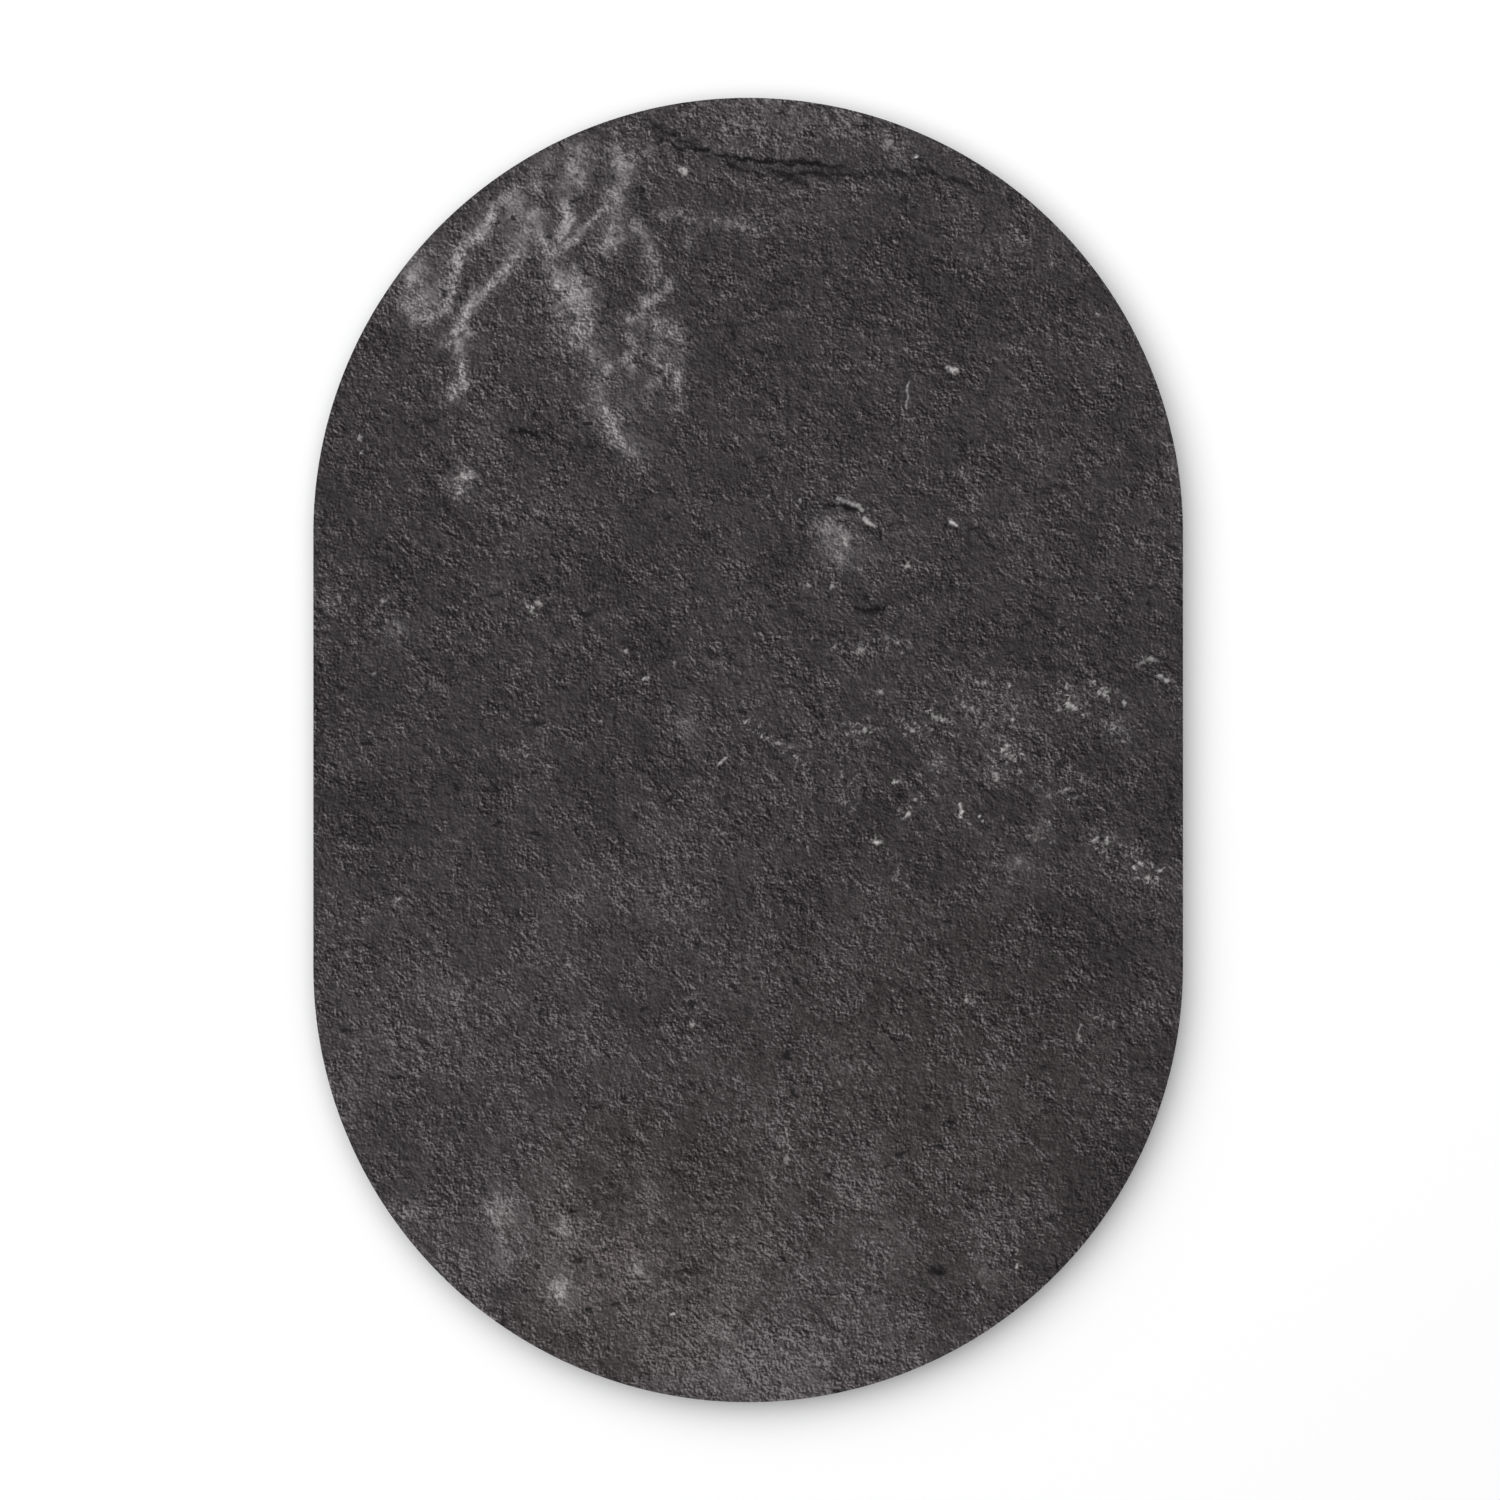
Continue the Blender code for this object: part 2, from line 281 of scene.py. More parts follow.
        # Each kind of mark: its attribute and colour, the pattern that breaks it up, the range of that
        # pattern over which it appears, and its shares at the two ends of that range.
        layers = (
            # Lime lies on the crests first, so it breaks up where the face is low.
            ("bloom", "#b9b4b5", value, 0.25, 1.0, 0.22, 1.05),
            ("dust", "#bab5b6", clots, 0.55, 0.66, 0.0, 1.0),
            # Steps, cracks and pits are coloured near black here: painted shade in the recesses.
            ("dark", "#100f0f", crumbs, 0.30, 0.48, 0.45, 1.0),
            ("fleck", "#c2bfbe", clots, 0.36, 0.52, 0.22, 1.0),
        )
        raised = 0.0
        for key, code, breaker, start, end, least, most in layers:
            cut = put("MapRange", {}, {
                "Value": breaker, "From Min": start, "From Max": end,
                "To Min": least, "To Max": most,
            }).outputs[0]
            share = put("Math", {"operation": "MULTIPLY", "use_clamp": True}, {
                0: held[key], 1: cut,
            }).outputs[0]
            colour = put("Mix", {"data_type": "RGBA"}, {
                FACTOR: share, COLOUR_A: colour, COLOUR_B: linear(code),
            }).outputs[MIXED]
            if key in ("dust", "fleck"):
                raised = put("Math", {"operation": "ADD"}, {0: share, 1: raised}).outputs[0]
        # Hairline crevices where the split tore: they gather in bands and run nearly level, pressed in by
        # the bump and coloured near black as painted shade.
        torn = put("Mapping", {"vector_type": "TEXTURE"}, {
            "Vector": place, "Rotation": (0.0, math.radians(8), 0.0),
            "Scale": (self.tear_stretch * self.tear_mm * MM, self.tear_mm * MM, self.tear_mm * MM),
        }).outputs[0]
        tear = put("TexNoise", {}, {
            "Vector": torn, "Scale": 1.0, "Detail": 3.0, "Roughness": 0.6, "Distortion": 0.6,
        }).outputs["Fac"]
        beside = put("Math", {"operation": "SUBTRACT"}, {0: tear, 1: 0.5}).outputs[0]
        beside = put("Math", {"operation": "ABSOLUTE"}, {0: beside}).outputs[0]
        # Small plucked hollows are scattered thinly over everything, also coloured near black as painted
        # shade.
        hollow = put("TexNoise", {}, {
            "Vector": torn, "Scale": self.tear_mm / self.pore_mm, "Detail": 2.0,
            "Roughness": 0.6, "Distortion": 0.5,
        }).outputs["Fac"]
        line, band, pore = (
            put("MapRange", {}, {
                "Value": source, "From Min": start, "From Max": end, "To Min": least, "To Max": most,
            }).outputs[0]
            for source, start, end, least, most in (
                (beside, 0.004, 0.016, 1.0, 0.0),
                (fields["patch"], 0.52, 0.64, 0.0, 0.75),
                (hollow, 0.64, 0.72, 0.0, 0.85),
            )
        )
        crevice_with_painted_shade = put("Math", {"operation": "MULTIPLY"}, {0: line, 1: band}).outputs[0]
        crevice_with_painted_shade = put("Math", {"operation": "MAXIMUM"}, {0: crevice_with_painted_shade, 1: pore}).outputs[0]
        # Painted shade: crevices and hollows take a near-black colour.
        colour = put("Mix", {"data_type": "RGBA"}, {
            FACTOR: crevice_with_painted_shade, COLOUR_A: colour, COLOUR_B: linear("#161515"),
        }).outputs[MIXED]
        height = fields["crest"]
        for layer, share in ((fields["lump"], self.lump_relief), (crevice_with_painted_shade, self.crevice_relief)):
            height = put("Math", {"operation": "MULTIPLY_ADD"}, {
                0: layer, 1: share, 2: height,
            }).outputs[0]
        height = put("Math", {"operation": "MULTIPLY"}, {0: height, 1: rough}).outputs[0]
        height = put("Math", {"operation": "MULTIPLY_ADD"}, {
            0: raised, 1: self.grain_relief, 2: height,
        }).outputs[0]
        bump = put("Bump", {}, {"Strength": 1.0, "Distance": self.relief_mm * MM, "Height": height})
        tree.links.new(colour, surface.inputs["Base Color"])
        tree.links.new(bump.outputs[0], surface.inputs["Normal"])
        surface.inputs["Roughness"].default_value = self.roughness
        surface.inputs["Specular IOR Level"].default_value = self.specular


@dataclass(frozen=True)
class SawnBasalt(Finish):
    """The same basalt cut by a diamond saw: an even dull grey with faint blade lines and fine pores."""

    name: str = "sawn_basalt_edge"
    grain_mm: float = 0.9
    line_mm: tuple[float, float, float] = (60.0, 0.5, 60.0)
    line_share: float = 0.4
    relief_mm: float = 0.05
    roughness: float = 0.82
    specular: float = 0.3

    def dress(self, tree: bpy.types.NodeTree, surface: bpy.types.Node) -> None:
        """Fill the nodes of the sawn edge.

        Args:
            tree: the material's nodes.
            surface: its Principled shader.
        """
        put = partial(add_node, tree)
        place = put("TexCoord").outputs["Object"]
        grain = put("TexNoise", {}, {
            "Vector": place, "Scale": 1 / (self.grain_mm * MM), "Detail": 2.0, "Roughness": 0.7,
        }).outputs["Fac"]
        flat = put("Mapping", {"vector_type": "TEXTURE"}, {
            "Vector": place, "Scale": tuple(size * MM for size in self.line_mm),
        }).outputs[0]
        lines = put("TexNoise", {}, {"Vector": flat, "Scale": 1.0, "Detail": 2.0}).outputs["Fac"]
        both = 0.0
        for layer, share in ((grain, 1 - self.line_share), (lines, self.line_share)):
            both = put("Math", {"operation": "MULTIPLY_ADD"}, {0: layer, 1: share, 2: both}).outputs[0]
        colour = put("ValToRGB", {"stops": (
            (0.35, "#2c2b2b"), (0.5, "#3d3b3c"), (0.68, "#5a5858"),
        )}, {"Fac": both}).outputs["Color"]
        bump = put("Bump", {}, {"Strength": 0.6, "Distance": self.relief_mm * MM, "Height": both})
        tree.links.new(colour, surface.inputs["Base Color"])
        tree.links.new(bump.outputs[0], surface.inputs["Normal"])
        surface.inputs["Roughness"].default_value = self.roughness
        surface.inputs["Specular IOR Level"].default_value = self.specular


@dataclass(frozen=True)
class Plain(Finish):
    """A moulded, rolled, extruded or plated finish: two close tones in a fine pattern, with its relief.

    Laminate, plastics, foam, rubber, adhesive and bare, primed or plated metal differ only in the
    figures, so they share this class. A pattern longer one way than the others gives drawn lines.
    """

    name: str
    dark: str
    pale: str
    pattern_mm: tuple[float, float, float]
    roughness: float
    metallic: float = 0.0
    specular: float = 0.5
    relief_mm: float = 0.01
    detail: float = 3.0
    translucency: float = 0.0
    glow_mm: float = 0.8
    swing: float = 0.08
    cloud_mm: float = 30.0
    cloud: float = 0.25

    def dress(self, tree: bpy.types.NodeTree, surface: bpy.types.Node) -> None:
        """Fill the nodes of the finish.

        Args:
            tree: the material's nodes.
            surface: its Principled shader.
        """
        put = partial(add_node, tree)
        place = put("TexCoord").outputs["Object"]
        sized = put("Mapping", {"vector_type": "TEXTURE"}, {
            "Vector": place, "Scale": tuple(size * MM for size in self.pattern_mm),
        }).outputs[0]
        noise = put("TexNoise", {}, {
            "Vector": sized, "Scale": 1.0, "Detail": self.detail, "Roughness": 0.65,
        }).outputs["Fac"]
        cloud = put("TexNoise", {}, {
            "Vector": place, "Scale": 1 / (self.cloud_mm * MM), "Detail": 3.0, "Roughness": 0.6,
        }).outputs["Fac"]
        tone = put("Mix", {"data_type": "FLOAT"}, {FACTOR: self.cloud, "A": noise, "B": cloud}).outputs[0]
        colour = put("ValToRGB", {"stops": (
            (0.34, self.dark), (0.66, self.pale),
        )}, {"Fac": tone}).outputs["Color"]
        rough = put("MapRange", {}, {
            "Value": tone, "From Min": 0.3, "From Max": 0.7,
            "To Min": self.roughness - self.swing, "To Max": self.roughness + self.swing,
        }).outputs[0]
        bump = put("Bump", {}, {"Strength": 0.7, "Distance": self.relief_mm * MM, "Height": noise})
        tree.links.new(colour, surface.inputs["Base Color"])
        tree.links.new(rough, surface.inputs["Roughness"])
        tree.links.new(bump.outputs[0], surface.inputs["Normal"])
        surface.inputs["Metallic"].default_value = self.metallic
        if not self.metallic:
            surface.inputs["Specular IOR Level"].default_value = self.specular
        if self.translucency:
            surface.inputs["Subsurface Weight"].default_value = self.translucency
            surface.inputs["Subsurface Scale"].default_value = self.glow_mm * MM


# E-glass cloth in epoxy, pressed: pale green-grey, slightly see-through, with a 1.5 mm weave.
GLASS = Plain("glass_laminate", "#77806f", "#98a08c", (1.5, 1.5, 1.5), 0.42, relief_mm=0.03,
              translucency=0.2)
# Cold-rolled sheet with a roller-washed polyester primer: dull silver-grey, faint roll lines, soft clouds.
PRIMED = Plain("primed_aluminium_sheet", "#a4a7a6", "#b6b9b7", (1.1, 1.1, 90.0), 0.46, metallic=0.55,
               relief_mm=0.006, detail=4.0, cloud_mm=60.0, cloud=0.4)
# Routed low-density polyethylene: black, waxy, with fine cutter chatter.
POLYETHYLENE = Plain("black_polyethylene_core", "#0c0c0d", "#1a1a1c", (2.0, 0.4, 2.0), 0.52, specular=0.4,
                     relief_mm=0.05)
# Extruded 6060 left as it came off the die: bright grey with die lines along its length.
MILL = Plain("mill_extrusion", "#a9aaac", "#c6c7c8", (160.0, 0.7, 0.7), 0.36, metallic=1.0, relief_mm=0.01)
# Extruded and natural anodised: the die lines are etched down and the sheen is even and satin.
ANODISED = Plain("satin_anodised_extrusion", "#b0b1b3", "#c2c3c4", (120.0, 0.9, 0.9), 0.30, metallic=1.0,
                 relief_mm=0.005, swing=0.04)
# Closed-cell acrylic foam tape: dark grey and dull, with cells of up to 0.5 mm at its cut edges.
FOAM = Plain("acrylic_foam_tape", "#4a4b4d", "#67686a", (0.5, 0.5, 0.5), 0.86, specular=0.25,
             relief_mm=0.06)
# Moulded natural rubber: near black, matt from a spark-eroded mould.
RUBBER = Plain("moulded_black_rubber", "#131314", "#232324", (0.6, 0.6, 0.6), 0.7, specular=0.35,
               relief_mm=0.02)
# Steel with bright zinc plate and clear passivate: blue-white with a faint straw bloom.
ZINC = Plain("zinc_plate", "#a9adae", "#cfcfc6", (1.6, 1.6, 1.6), 0.28, metallic=1.0, relief_mm=0.006)
# Moulded polyamide 6: mid grey, waxy, with a slight glow through thin walls.
NYLON = Plain("moulded_grey_nylon", "#7f8387", "#92969a", (1.2, 1.2, 1.2), 0.45, relief_mm=0.015,
              translucency=0.15)
# Set epoxy between the stone and its backing: straw-grey and glassy where it shows at the edge.
EPOXY = Plain("set_epoxy", "#6f6a58", "#8b8570", (1.5, 0.6, 1.5), 0.3, relief_mm=0.03, translucency=0.3)


@dataclass(frozen=True)
class StudioPaint(Finish):
    """Matt white emulsion, rolled on. Only its front shows, so that the panel's back can be seen."""

    name: str = "studio_paint"
    colour: str = "#fafafb"
    grains_per_metre: float = 900.0
    relief_mm: float = 0.1

    def dress(self, tree: bpy.types.NodeTree, surface: bpy.types.Node) -> None:
        """Fill the nodes of the stage's paint.

        Args:
            tree: the material's nodes.
            surface: its Principled shader.
        """
        put = partial(add_node, tree)
        grain = put("TexNoise", {}, {
            "Vector": put("TexCoord").outputs["Object"],
            "Scale": self.grains_per_metre, "Detail": 2.0,
        }).outputs["Fac"]
        bump = put("Bump", {}, {"Strength": 0.2, "Distance": self.relief_mm * MM, "Height": grain})
        surface.inputs["Base Color"].default_value = linear(self.colour)
        surface.inputs["Roughness"].default_value = 1.0
        surface.inputs["Specular IOR Level"].default_value = 0.0
        tree.links.new(bump.outputs[0], surface.inputs["Normal"])
        clear = put("BsdfTransparent")
        side = put("NewGeometry").outputs["Backfacing"]
        mixed = put("MixShader", {}, {0: side, 1: surface.outputs["BSDF"], 2: clear.outputs[0]})
        output = next(node for node in tree.nodes if node.bl_idname == "ShaderNodeOutputMaterial")
        tree.links.new(mixed.outputs[0], output.inputs["Surface"])


# ---------------------------------------------------------------- shared shaping


def turn_outline(
    bm: bmesh.types.BMesh,
    outline: Sequence[tuple[float, float]],
    closed: bool,
    steps: int = 40,
    start: float = 0.0,
    angle: float = FULL_TURN,
) -> None:
    """Spin an outline round the Y axis.

    Args:
        bm: mesh that takes the turned shape.
        outline: (distance from the axis, place along Y) points, in metres.
        closed: whether the last point joins the first.
        steps: how many faces the turn has.
        start: angle at which the turn starts, in radians.
        angle: how far it turns, in radians; less than a full turn has both ends capped.
    """
    corners = [bm.verts.new((radius, along, 0.0)) for radius, along in outline]
    pairs = list(zip(corners, corners[1:])) + ([(corners[-1], corners[0])] if closed else [])
    sides = [bm.edges.new(pair) for pair in pairs]
    bmesh.ops.rotate(bm, verts=corners, matrix=Matrix.Rotation(start, 3, "Y"))
    full = math.isclose(angle, FULL_TURN)
    bmesh.ops.spin(
        bm, geom=corners + sides, axis=(0, 1, 0), cent=(0, 0, 0), angle=angle, steps=steps,
        use_merge=full, use_duplicate=False,
    )
    bmesh.ops.remove_doubles(bm, verts=bm.verts[:], dist=MERGE)
    if closed and not full:
        bmesh.ops.holes_fill(bm, edges=[edge for edge in bm.edges if edge.is_boundary], sides=0)


def take_shell(bm: bmesh.types.BMesh, shell: bmesh.types.BMesh) -> None:
    """Add one closed shell to a piece with its faces outwards.

    Args:
        bm: the piece.
        shell: the shell; it is freed.
    """
    bmesh.ops.recalc_face_normals(shell, faces=shell.faces[:])
    if shell.calc_volume(signed=True) < 0:
        bmesh.ops.reverse_faces(shell, faces=shell.faces[:])
    held = bpy.data.meshes.new("shell")
    shell.to_mesh(held)
    shell.free()
    bm.from_mesh(held)
    bpy.data.meshes.remove(held)


def add_piece(
    bm: bmesh.types.BMesh,
    name: str,
    body: str,
    finishes: Iterable[Finish],
    replaced: Sequence[str] = (),
    smooth_below: float = 35.0,
    turn_out: bool = True,
) -> bpy.types.Object:
    """Finish a mesh as a piece that rides on a body.

    Args:
        bm: the shaped mesh, in the frame's own place; it is freed.
        name: the piece's name.
        body: the body it rides on.
        finishes: its materials, in the order of its faces' material numbers.
        replaced: CAD nodes that it stands for.
        smooth_below: edges that turn by more than this many degrees stay sharp.
        turn_out: whether its faces are turned outwards first.

    Returns:
        The new object.
    """
    if turn_out:
        bmesh.ops.recalc_face_normals(bm, faces=bm.faces[:])
    for face in bm.faces:
        face.smooth = True
    for edge in bm.edges:
        edge.smooth = edge.calc_face_angle(0.0) < math.radians(smooth_below)
    mesh = bpy.data.meshes.new(name)
    bm.to_mesh(mesh)
    bm.free()
    for finish in finishes:
        mesh.materials.append(material_of(finish))
    piece = bpy.data.objects.new(name, mesh)
    bpy.context.scene.collection.objects.link(piece)
    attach(piece, body)
    if replaced:
        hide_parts(*replaced)
    triangles = sum(len(face.vertices) - 2 for face in mesh.polygons)
    LOG.info("%s on %s: %d triangles", name, body, triangles)
    return piece


# ---------------------------------------------------------------- the stone


class MarkKind(Enum):
    """What a mark on the stone is."""

    BLOOM = "bloom"
    LEDGE = "ledge"
    PIT = "pit"
    FLECK = "fleck"
    DUST = "dust"
    PALE = "pale"
    WARM = "warm"


WAVER = 0.35  # how far a mark's edge wavers, as a share of its half width
FADED = 1.5  # where it has faded out, as a share of its half width
FADE_CURVE = 1.5  # the power of the curve on which it fades


@dataclass(frozen=True)
class Mark:
    """One mark on the face: a spot, or a line through several points, in millimetres from the middle."""

    kind: MarkKind
    points: tuple[tuple[float, float], ...]
    width: float
    strength: float

    def amount(
        self, x: np.ndarray, z: np.ndarray, wobble: np.ndarray, fray: np.ndarray
    ) -> np.ndarray:
        """How strongly the mark shows at each place.

        Args:
            x: places across the face, in millimetres.
            z: places up the face, in millimetres.
            wobble: a random field that makes its outline uneven.
            fray: a finer random field that makes its edge ragged.

        Returns:
            Its strength at each place, 0 away from it.
        """
        reach = self.distance(x, z) / (self.width / 2) * (1 + WAVER * wobble) + WAVER * fray
        return self.strength * np.clip(FADED - reach, 0, 1) ** FADE_CURVE

    def distance(self, x: np.ndarray, z: np.ndarray) -> np.ndarray:
        """Distance from each place to the mark's line, in millimetres.

        Args:
            x: places across the face, in millimetres.
            z: places up the face, in millimetres.

        Returns:
            The distances.
        """
        ends = self.points if len(self.points) > 1 else self.points * 2
        nearest = np.full(x.shape, np.inf)
        for (x0, z0), (x1, z1) in zip(ends, ends[1:]):
            dx, dz = x1 - x0, z1 - z0
            length = dx * dx + dz * dz
            share = np.clip(((x - x0) * dx + (z - z0) * dz) / length, 0, 1) if length else 0.0
            nearest = np.minimum(nearest, np.hypot(x - x0 - share * dx, z - z0 - share * dz))
        return nearest


def marks(kind: MarkKind, *rows: tuple) -> tuple[Mark, ...]:
    """Marks of one kind from rows of (width, strength, point, point ...).

    Args:
        kind: what they are.
        rows: one row per mark.

    Returns:
        The marks.
    """
    return tuple(Mark(kind, tuple(row[2:]), row[0], row[1]) for row in rows)


# Lime that seeped out at the upper left and ran down in chalky streaks.
BLOOMS = marks(
    MarkKind.BLOOM,
    (4.5, 0.85, (-108, 256), (-117, 251), (-120, 242), (-127, 233), (-133, 230)),
    (4.0, 0.75, (-133, 230), (-134, 221), (-137, 211), (-139, 204), (-143, 199), (-148, 198), (-153, 199),
     (-157, 204), (-158, 210), (-155, 217)),
    (14, 0.45, (-152, 222), (-152, 208)), (9, 0.3, (-146, 204), (-143, 214)),
    (10, 0.45, (-106, 254), (-104, 240), (-107, 228)),
    (4.5, 0.8, (-107, 228), (-115, 217), (-124, 209), (-131, 200), (-134, 191)),
    (3.0, 0.6, (-140, 187), (-134, 188), (-128, 192)),
    (3.5, 0.7, (-134, 188), (-132, 181), (-132, 174), (-133, 168), (-137, 162)),
    (6.0, 0.85, (-76, 277), (-80, 270), (-84, 260)), (9, 0.5, (-76, 274), (-79, 262)),
    (4.0, 1.1, (-84, 253), (-82, 246), (-83, 240), (-87, 237)), (5.0, 0.75, (-88, 233), (-90, 226)),
    (5.0, 0.8, (-99, 246), (-96, 237), (-92, 230), (-89, 221), (-85, 212)),
    (12, 0.75, (-80, 214), (-79, 203), (-76, 192)), (3.5, 0.6, (-74, 212), (-73, 200)),
    (5.0, 0.6, (-78, 189), (-71, 181), (-66, 175)), (3.0, 0.5, (-88, 191), (-86, 184)),
    (4.0, 0.5, (-57, 179), (-52, 174)),
    (8.5, 0.72, (-59, 274), (-58, 264), (-62, 252), (-61, 242), (-64, 233)),
    (2.6, 0.85, (-64, 253), (-71, 244), (-78, 237), (-83, 232)),
    (4.5, 0.9, (-52, 242), (-48, 237), (-46, 232), (-44, 225), (-43, 217)),
    (3.0, 0.75, (-36, 216), (-41, 210)), (4.5, 0.9, (-43, 208), (-47, 205)),
    (5.0, 0.7, (-55, 198), (-46, 198), (-38, 195), (-32, 189)),
    (4.0, 0.65, (-39, 184), (-36, 177), (-32, 170), (-33, 166)), (3.0, 0.5, (-33, 158)),
    (3.5, 0.55, (-55, 191), (-52, 185), (-55, 180)), (14, 0.35, (-44, 190), (-36, 180)),
    (5.0, 1.0, (-67, 156), (-64, 149), (-61, 144)), (9.0, 0.55, (-65, 154), (-59, 142), (-54, 137)),
    (8.0, 0.3, (-71, 170), (-68, 160)), (5.0, 0.3, (-48, 165), (-42, 170)), (12, 0.15, (-53, 160)),
    (10, 0.3, (-100, 262)), (9, 0.3, (-92, 270)), (6, 0.3, (-28, 233)),
    (11, 0.5, (-115, -210), (-114, -218)), (8, 0.25, (-114, -224), (-113, -240)), (7, 0.38, (-85, -220)),
    (9, 0.75, (-87, -248)), (3, 0.6, (-84, -245)), (8, 0.3, (-51, -239)), (6, 0.9, (-131, 125)),
    (5, 0.85, (-132, 118)), (5, 0.35, (-193, 67)), (6, 0.6, (44, 98), (44, 95)),
    (10, 0.5, (37, 104), (42, 93), (45, 89)), (7, 0.35, (-162, 56)), (12, 0.2, (-29, 11)),
    (10, 0.3, (-155, -213)), (8, 0.25, (110, -238)), (8, 0.3, (-45, -202)), (6, 0.3, (-10, -268)),
    (3, 0.3, (-42, 248), (-23, 244), (-5, 242), (4, 240)), (7, 0.2, (-20, 243), (4, 240)),
    (4, 0.2, (18, 246)), (9, 0.25, (70, 275), (66, 262)), (5, 0.2, (151, 22)),
    (6, 0.3, (168, 12), (172, 9)), (6, 0.15, (113, -11)), (5, 0.25, (137, -33), (139, -37)),
    (6, 0.25, (124, -53)), (5, 0.3, (133, -39)), (5, 0.35, (86, -6)),
)
# Where the split jumped from one bed to the next: steps and cracks, pressed in and coloured near black as
# painted shade.
LEDGES = marks(
    MarkKind.LEDGE,
    (1.8, 0.8, (-46, 290), (-36, 283), (-29, 280), (-24, 277)), (3.4, 0.35, (-44, 288), (-24, 276)),
    (1.6, 0.8, (-40, 281), (-32, 277), (-27, 276)),
    (2.2, 1.2, (-24, 277), (-15, 275), (-5, 272), (4, 271), (13, 271), (20, 270), (31, 270)),
    (3.0, 1.0, (8, 271), (20, 270)), (2.8, 1.1, (24, 271), (33, 270)),
    (2.0, 0.8, (31, 270), (37, 268), (44, 268)), (2.0, 0.9, (-9, 269), (1, 266), (8, 265)),
    (2.4, 0.9, (12, 266), (19, 264), (28, 266), (38, 265), (49, 265)), (2.0, 0.9, (15, 261), (20, 263)),
    (1.8, 0.8, (-20, 273), (-12, 271), (-4, 268)), (2.2, 0.8, (49, 262), (54, 263)),
    (8.0, 0.4, (-6, 269), (16, 267), (46, 266)), (2.4, 0.7, (54, 265), (60, 265)),
    (3.0, 0.8, (64, 267), (72, 265)), (2.4, 0.8, (81, 268), (86, 265)),
    (2.0, 0.7, (91, 263), (98, 261), (106, 257)), (4.0, 0.3, (44, 266), (90, 263)), (3.0, 0.5, (31, 240)),
    (3.0, 0.4, (5, 206), (20, 205)), (2.4, 0.7, (-149, 152), (-144, 151)),
    (2.4, 0.5, (-145, 47), (-142, 46)), (2.6, 0.7, (22, 261), (28, 260)),
    (1.8, 1.0, (36, 113), (40, 112), (49, 110)), (3.6, 0.5, (35, 113), (41, 111)),
    (1.6, 1.0, (59, 103), (61, 100), (61, 96)), (4.0, 0.45, (54, 103), (57, 98)),
    (1.5, 1.0, (49, 65), (54, 65), (59, 64), (64, 66)), (3.4, 0.5, (51, 64), (62, 64)),
    (4.0, 0.6, (136, 41), (141, 38), (146, 36)), (3.0, 0.4, (147, 36), (155, 33)),
    (2.0, 0.5, (59, 23), (59, 18)), (3.0, 0.5, (181, 32), (185, 31)), (3.2, 0.35, (83, 76), (97, 74)),
    (1.6, 0.7, (91, 104), (91, 99)), (2.2, 1.1, (-105, 147), (-97, 145)),
    (3.0, 0.5, (-114, 105), (-110, 103)), (1.8, 0.6, (-197, 64), (-193, 61)),
    (1.6, 0.7, (-171, 57), (-162, 56)), (1.6, 0.6, (-148, 67), (-141, 63)),
    (1.4, 0.3, (23, -138), (44, -126), (70, -110)), (2.4, 0.5, (-176, 152), (-168, 148)),
    (2.0, 0.6, (106, -29), (110, -36)), (2.2, 0.4, (-150, 47), (-160, 52)),
    (2.0, 0.45, (146, -19), (161, -34)), (3.0, 0.3, (150, 60), (166, 52)),
    (3.0, 0.3, (-128, 230), (-118, 232)), (2.4, 0.4, (-20, 196), (-8, 194), (2, 196)),
    (2.0, 0.3, (-32, 206), (-14, 204)), (2.2, 0.35, (-84, 180), (-74, 176)),
    (2.0, 0.3, (60, 238), (78, 234)),
)
# Gas bubbles and plucked grains, pressed in and coloured near black as painted shade.
PITS = marks(
    MarkKind.PIT,
    (3.4, 0.9, (-7, 190)), (4.4, 0.9, (86, -240), (90, -240)), (2.6, 0.8, (-151, -26)),
    (3.0, 0.8, (-196, -72)), (2.4, 0.8, (-187, -37)), (3.0, 0.8, (-126, -109)), (2.4, 0.7, (-166, -139)),
    (3.6, 0.8, (-113, -263)), (3.4, 0.8, (82, -165)), (3.6, 0.8, (93, -171)), (2.6, 0.7, (-112, 104)),
    (2.8, 0.7, (-186, 29)), (2.4, 0.7, (-65, -8)), (2.6, 0.7, (-36, -53)), (2.8, 0.7, (-18, 98)),
    (1.6, 1.0, (75, 81)), (2.6, 0.6, (34, 104)), (2.2, 0.5, (29, 112)), (2.4, 0.8, (91, 100)),
    (1.8, 0.9, (-134, 124)), (3.4, 0.45, (-58, -205)), (3.4, 0.45, (-69, -242)), (3.2, 0.45, (-26, -269)),
    (3.6, 0.45, (-15, -272)), (2.6, 0.4, (-134, 105)),
)
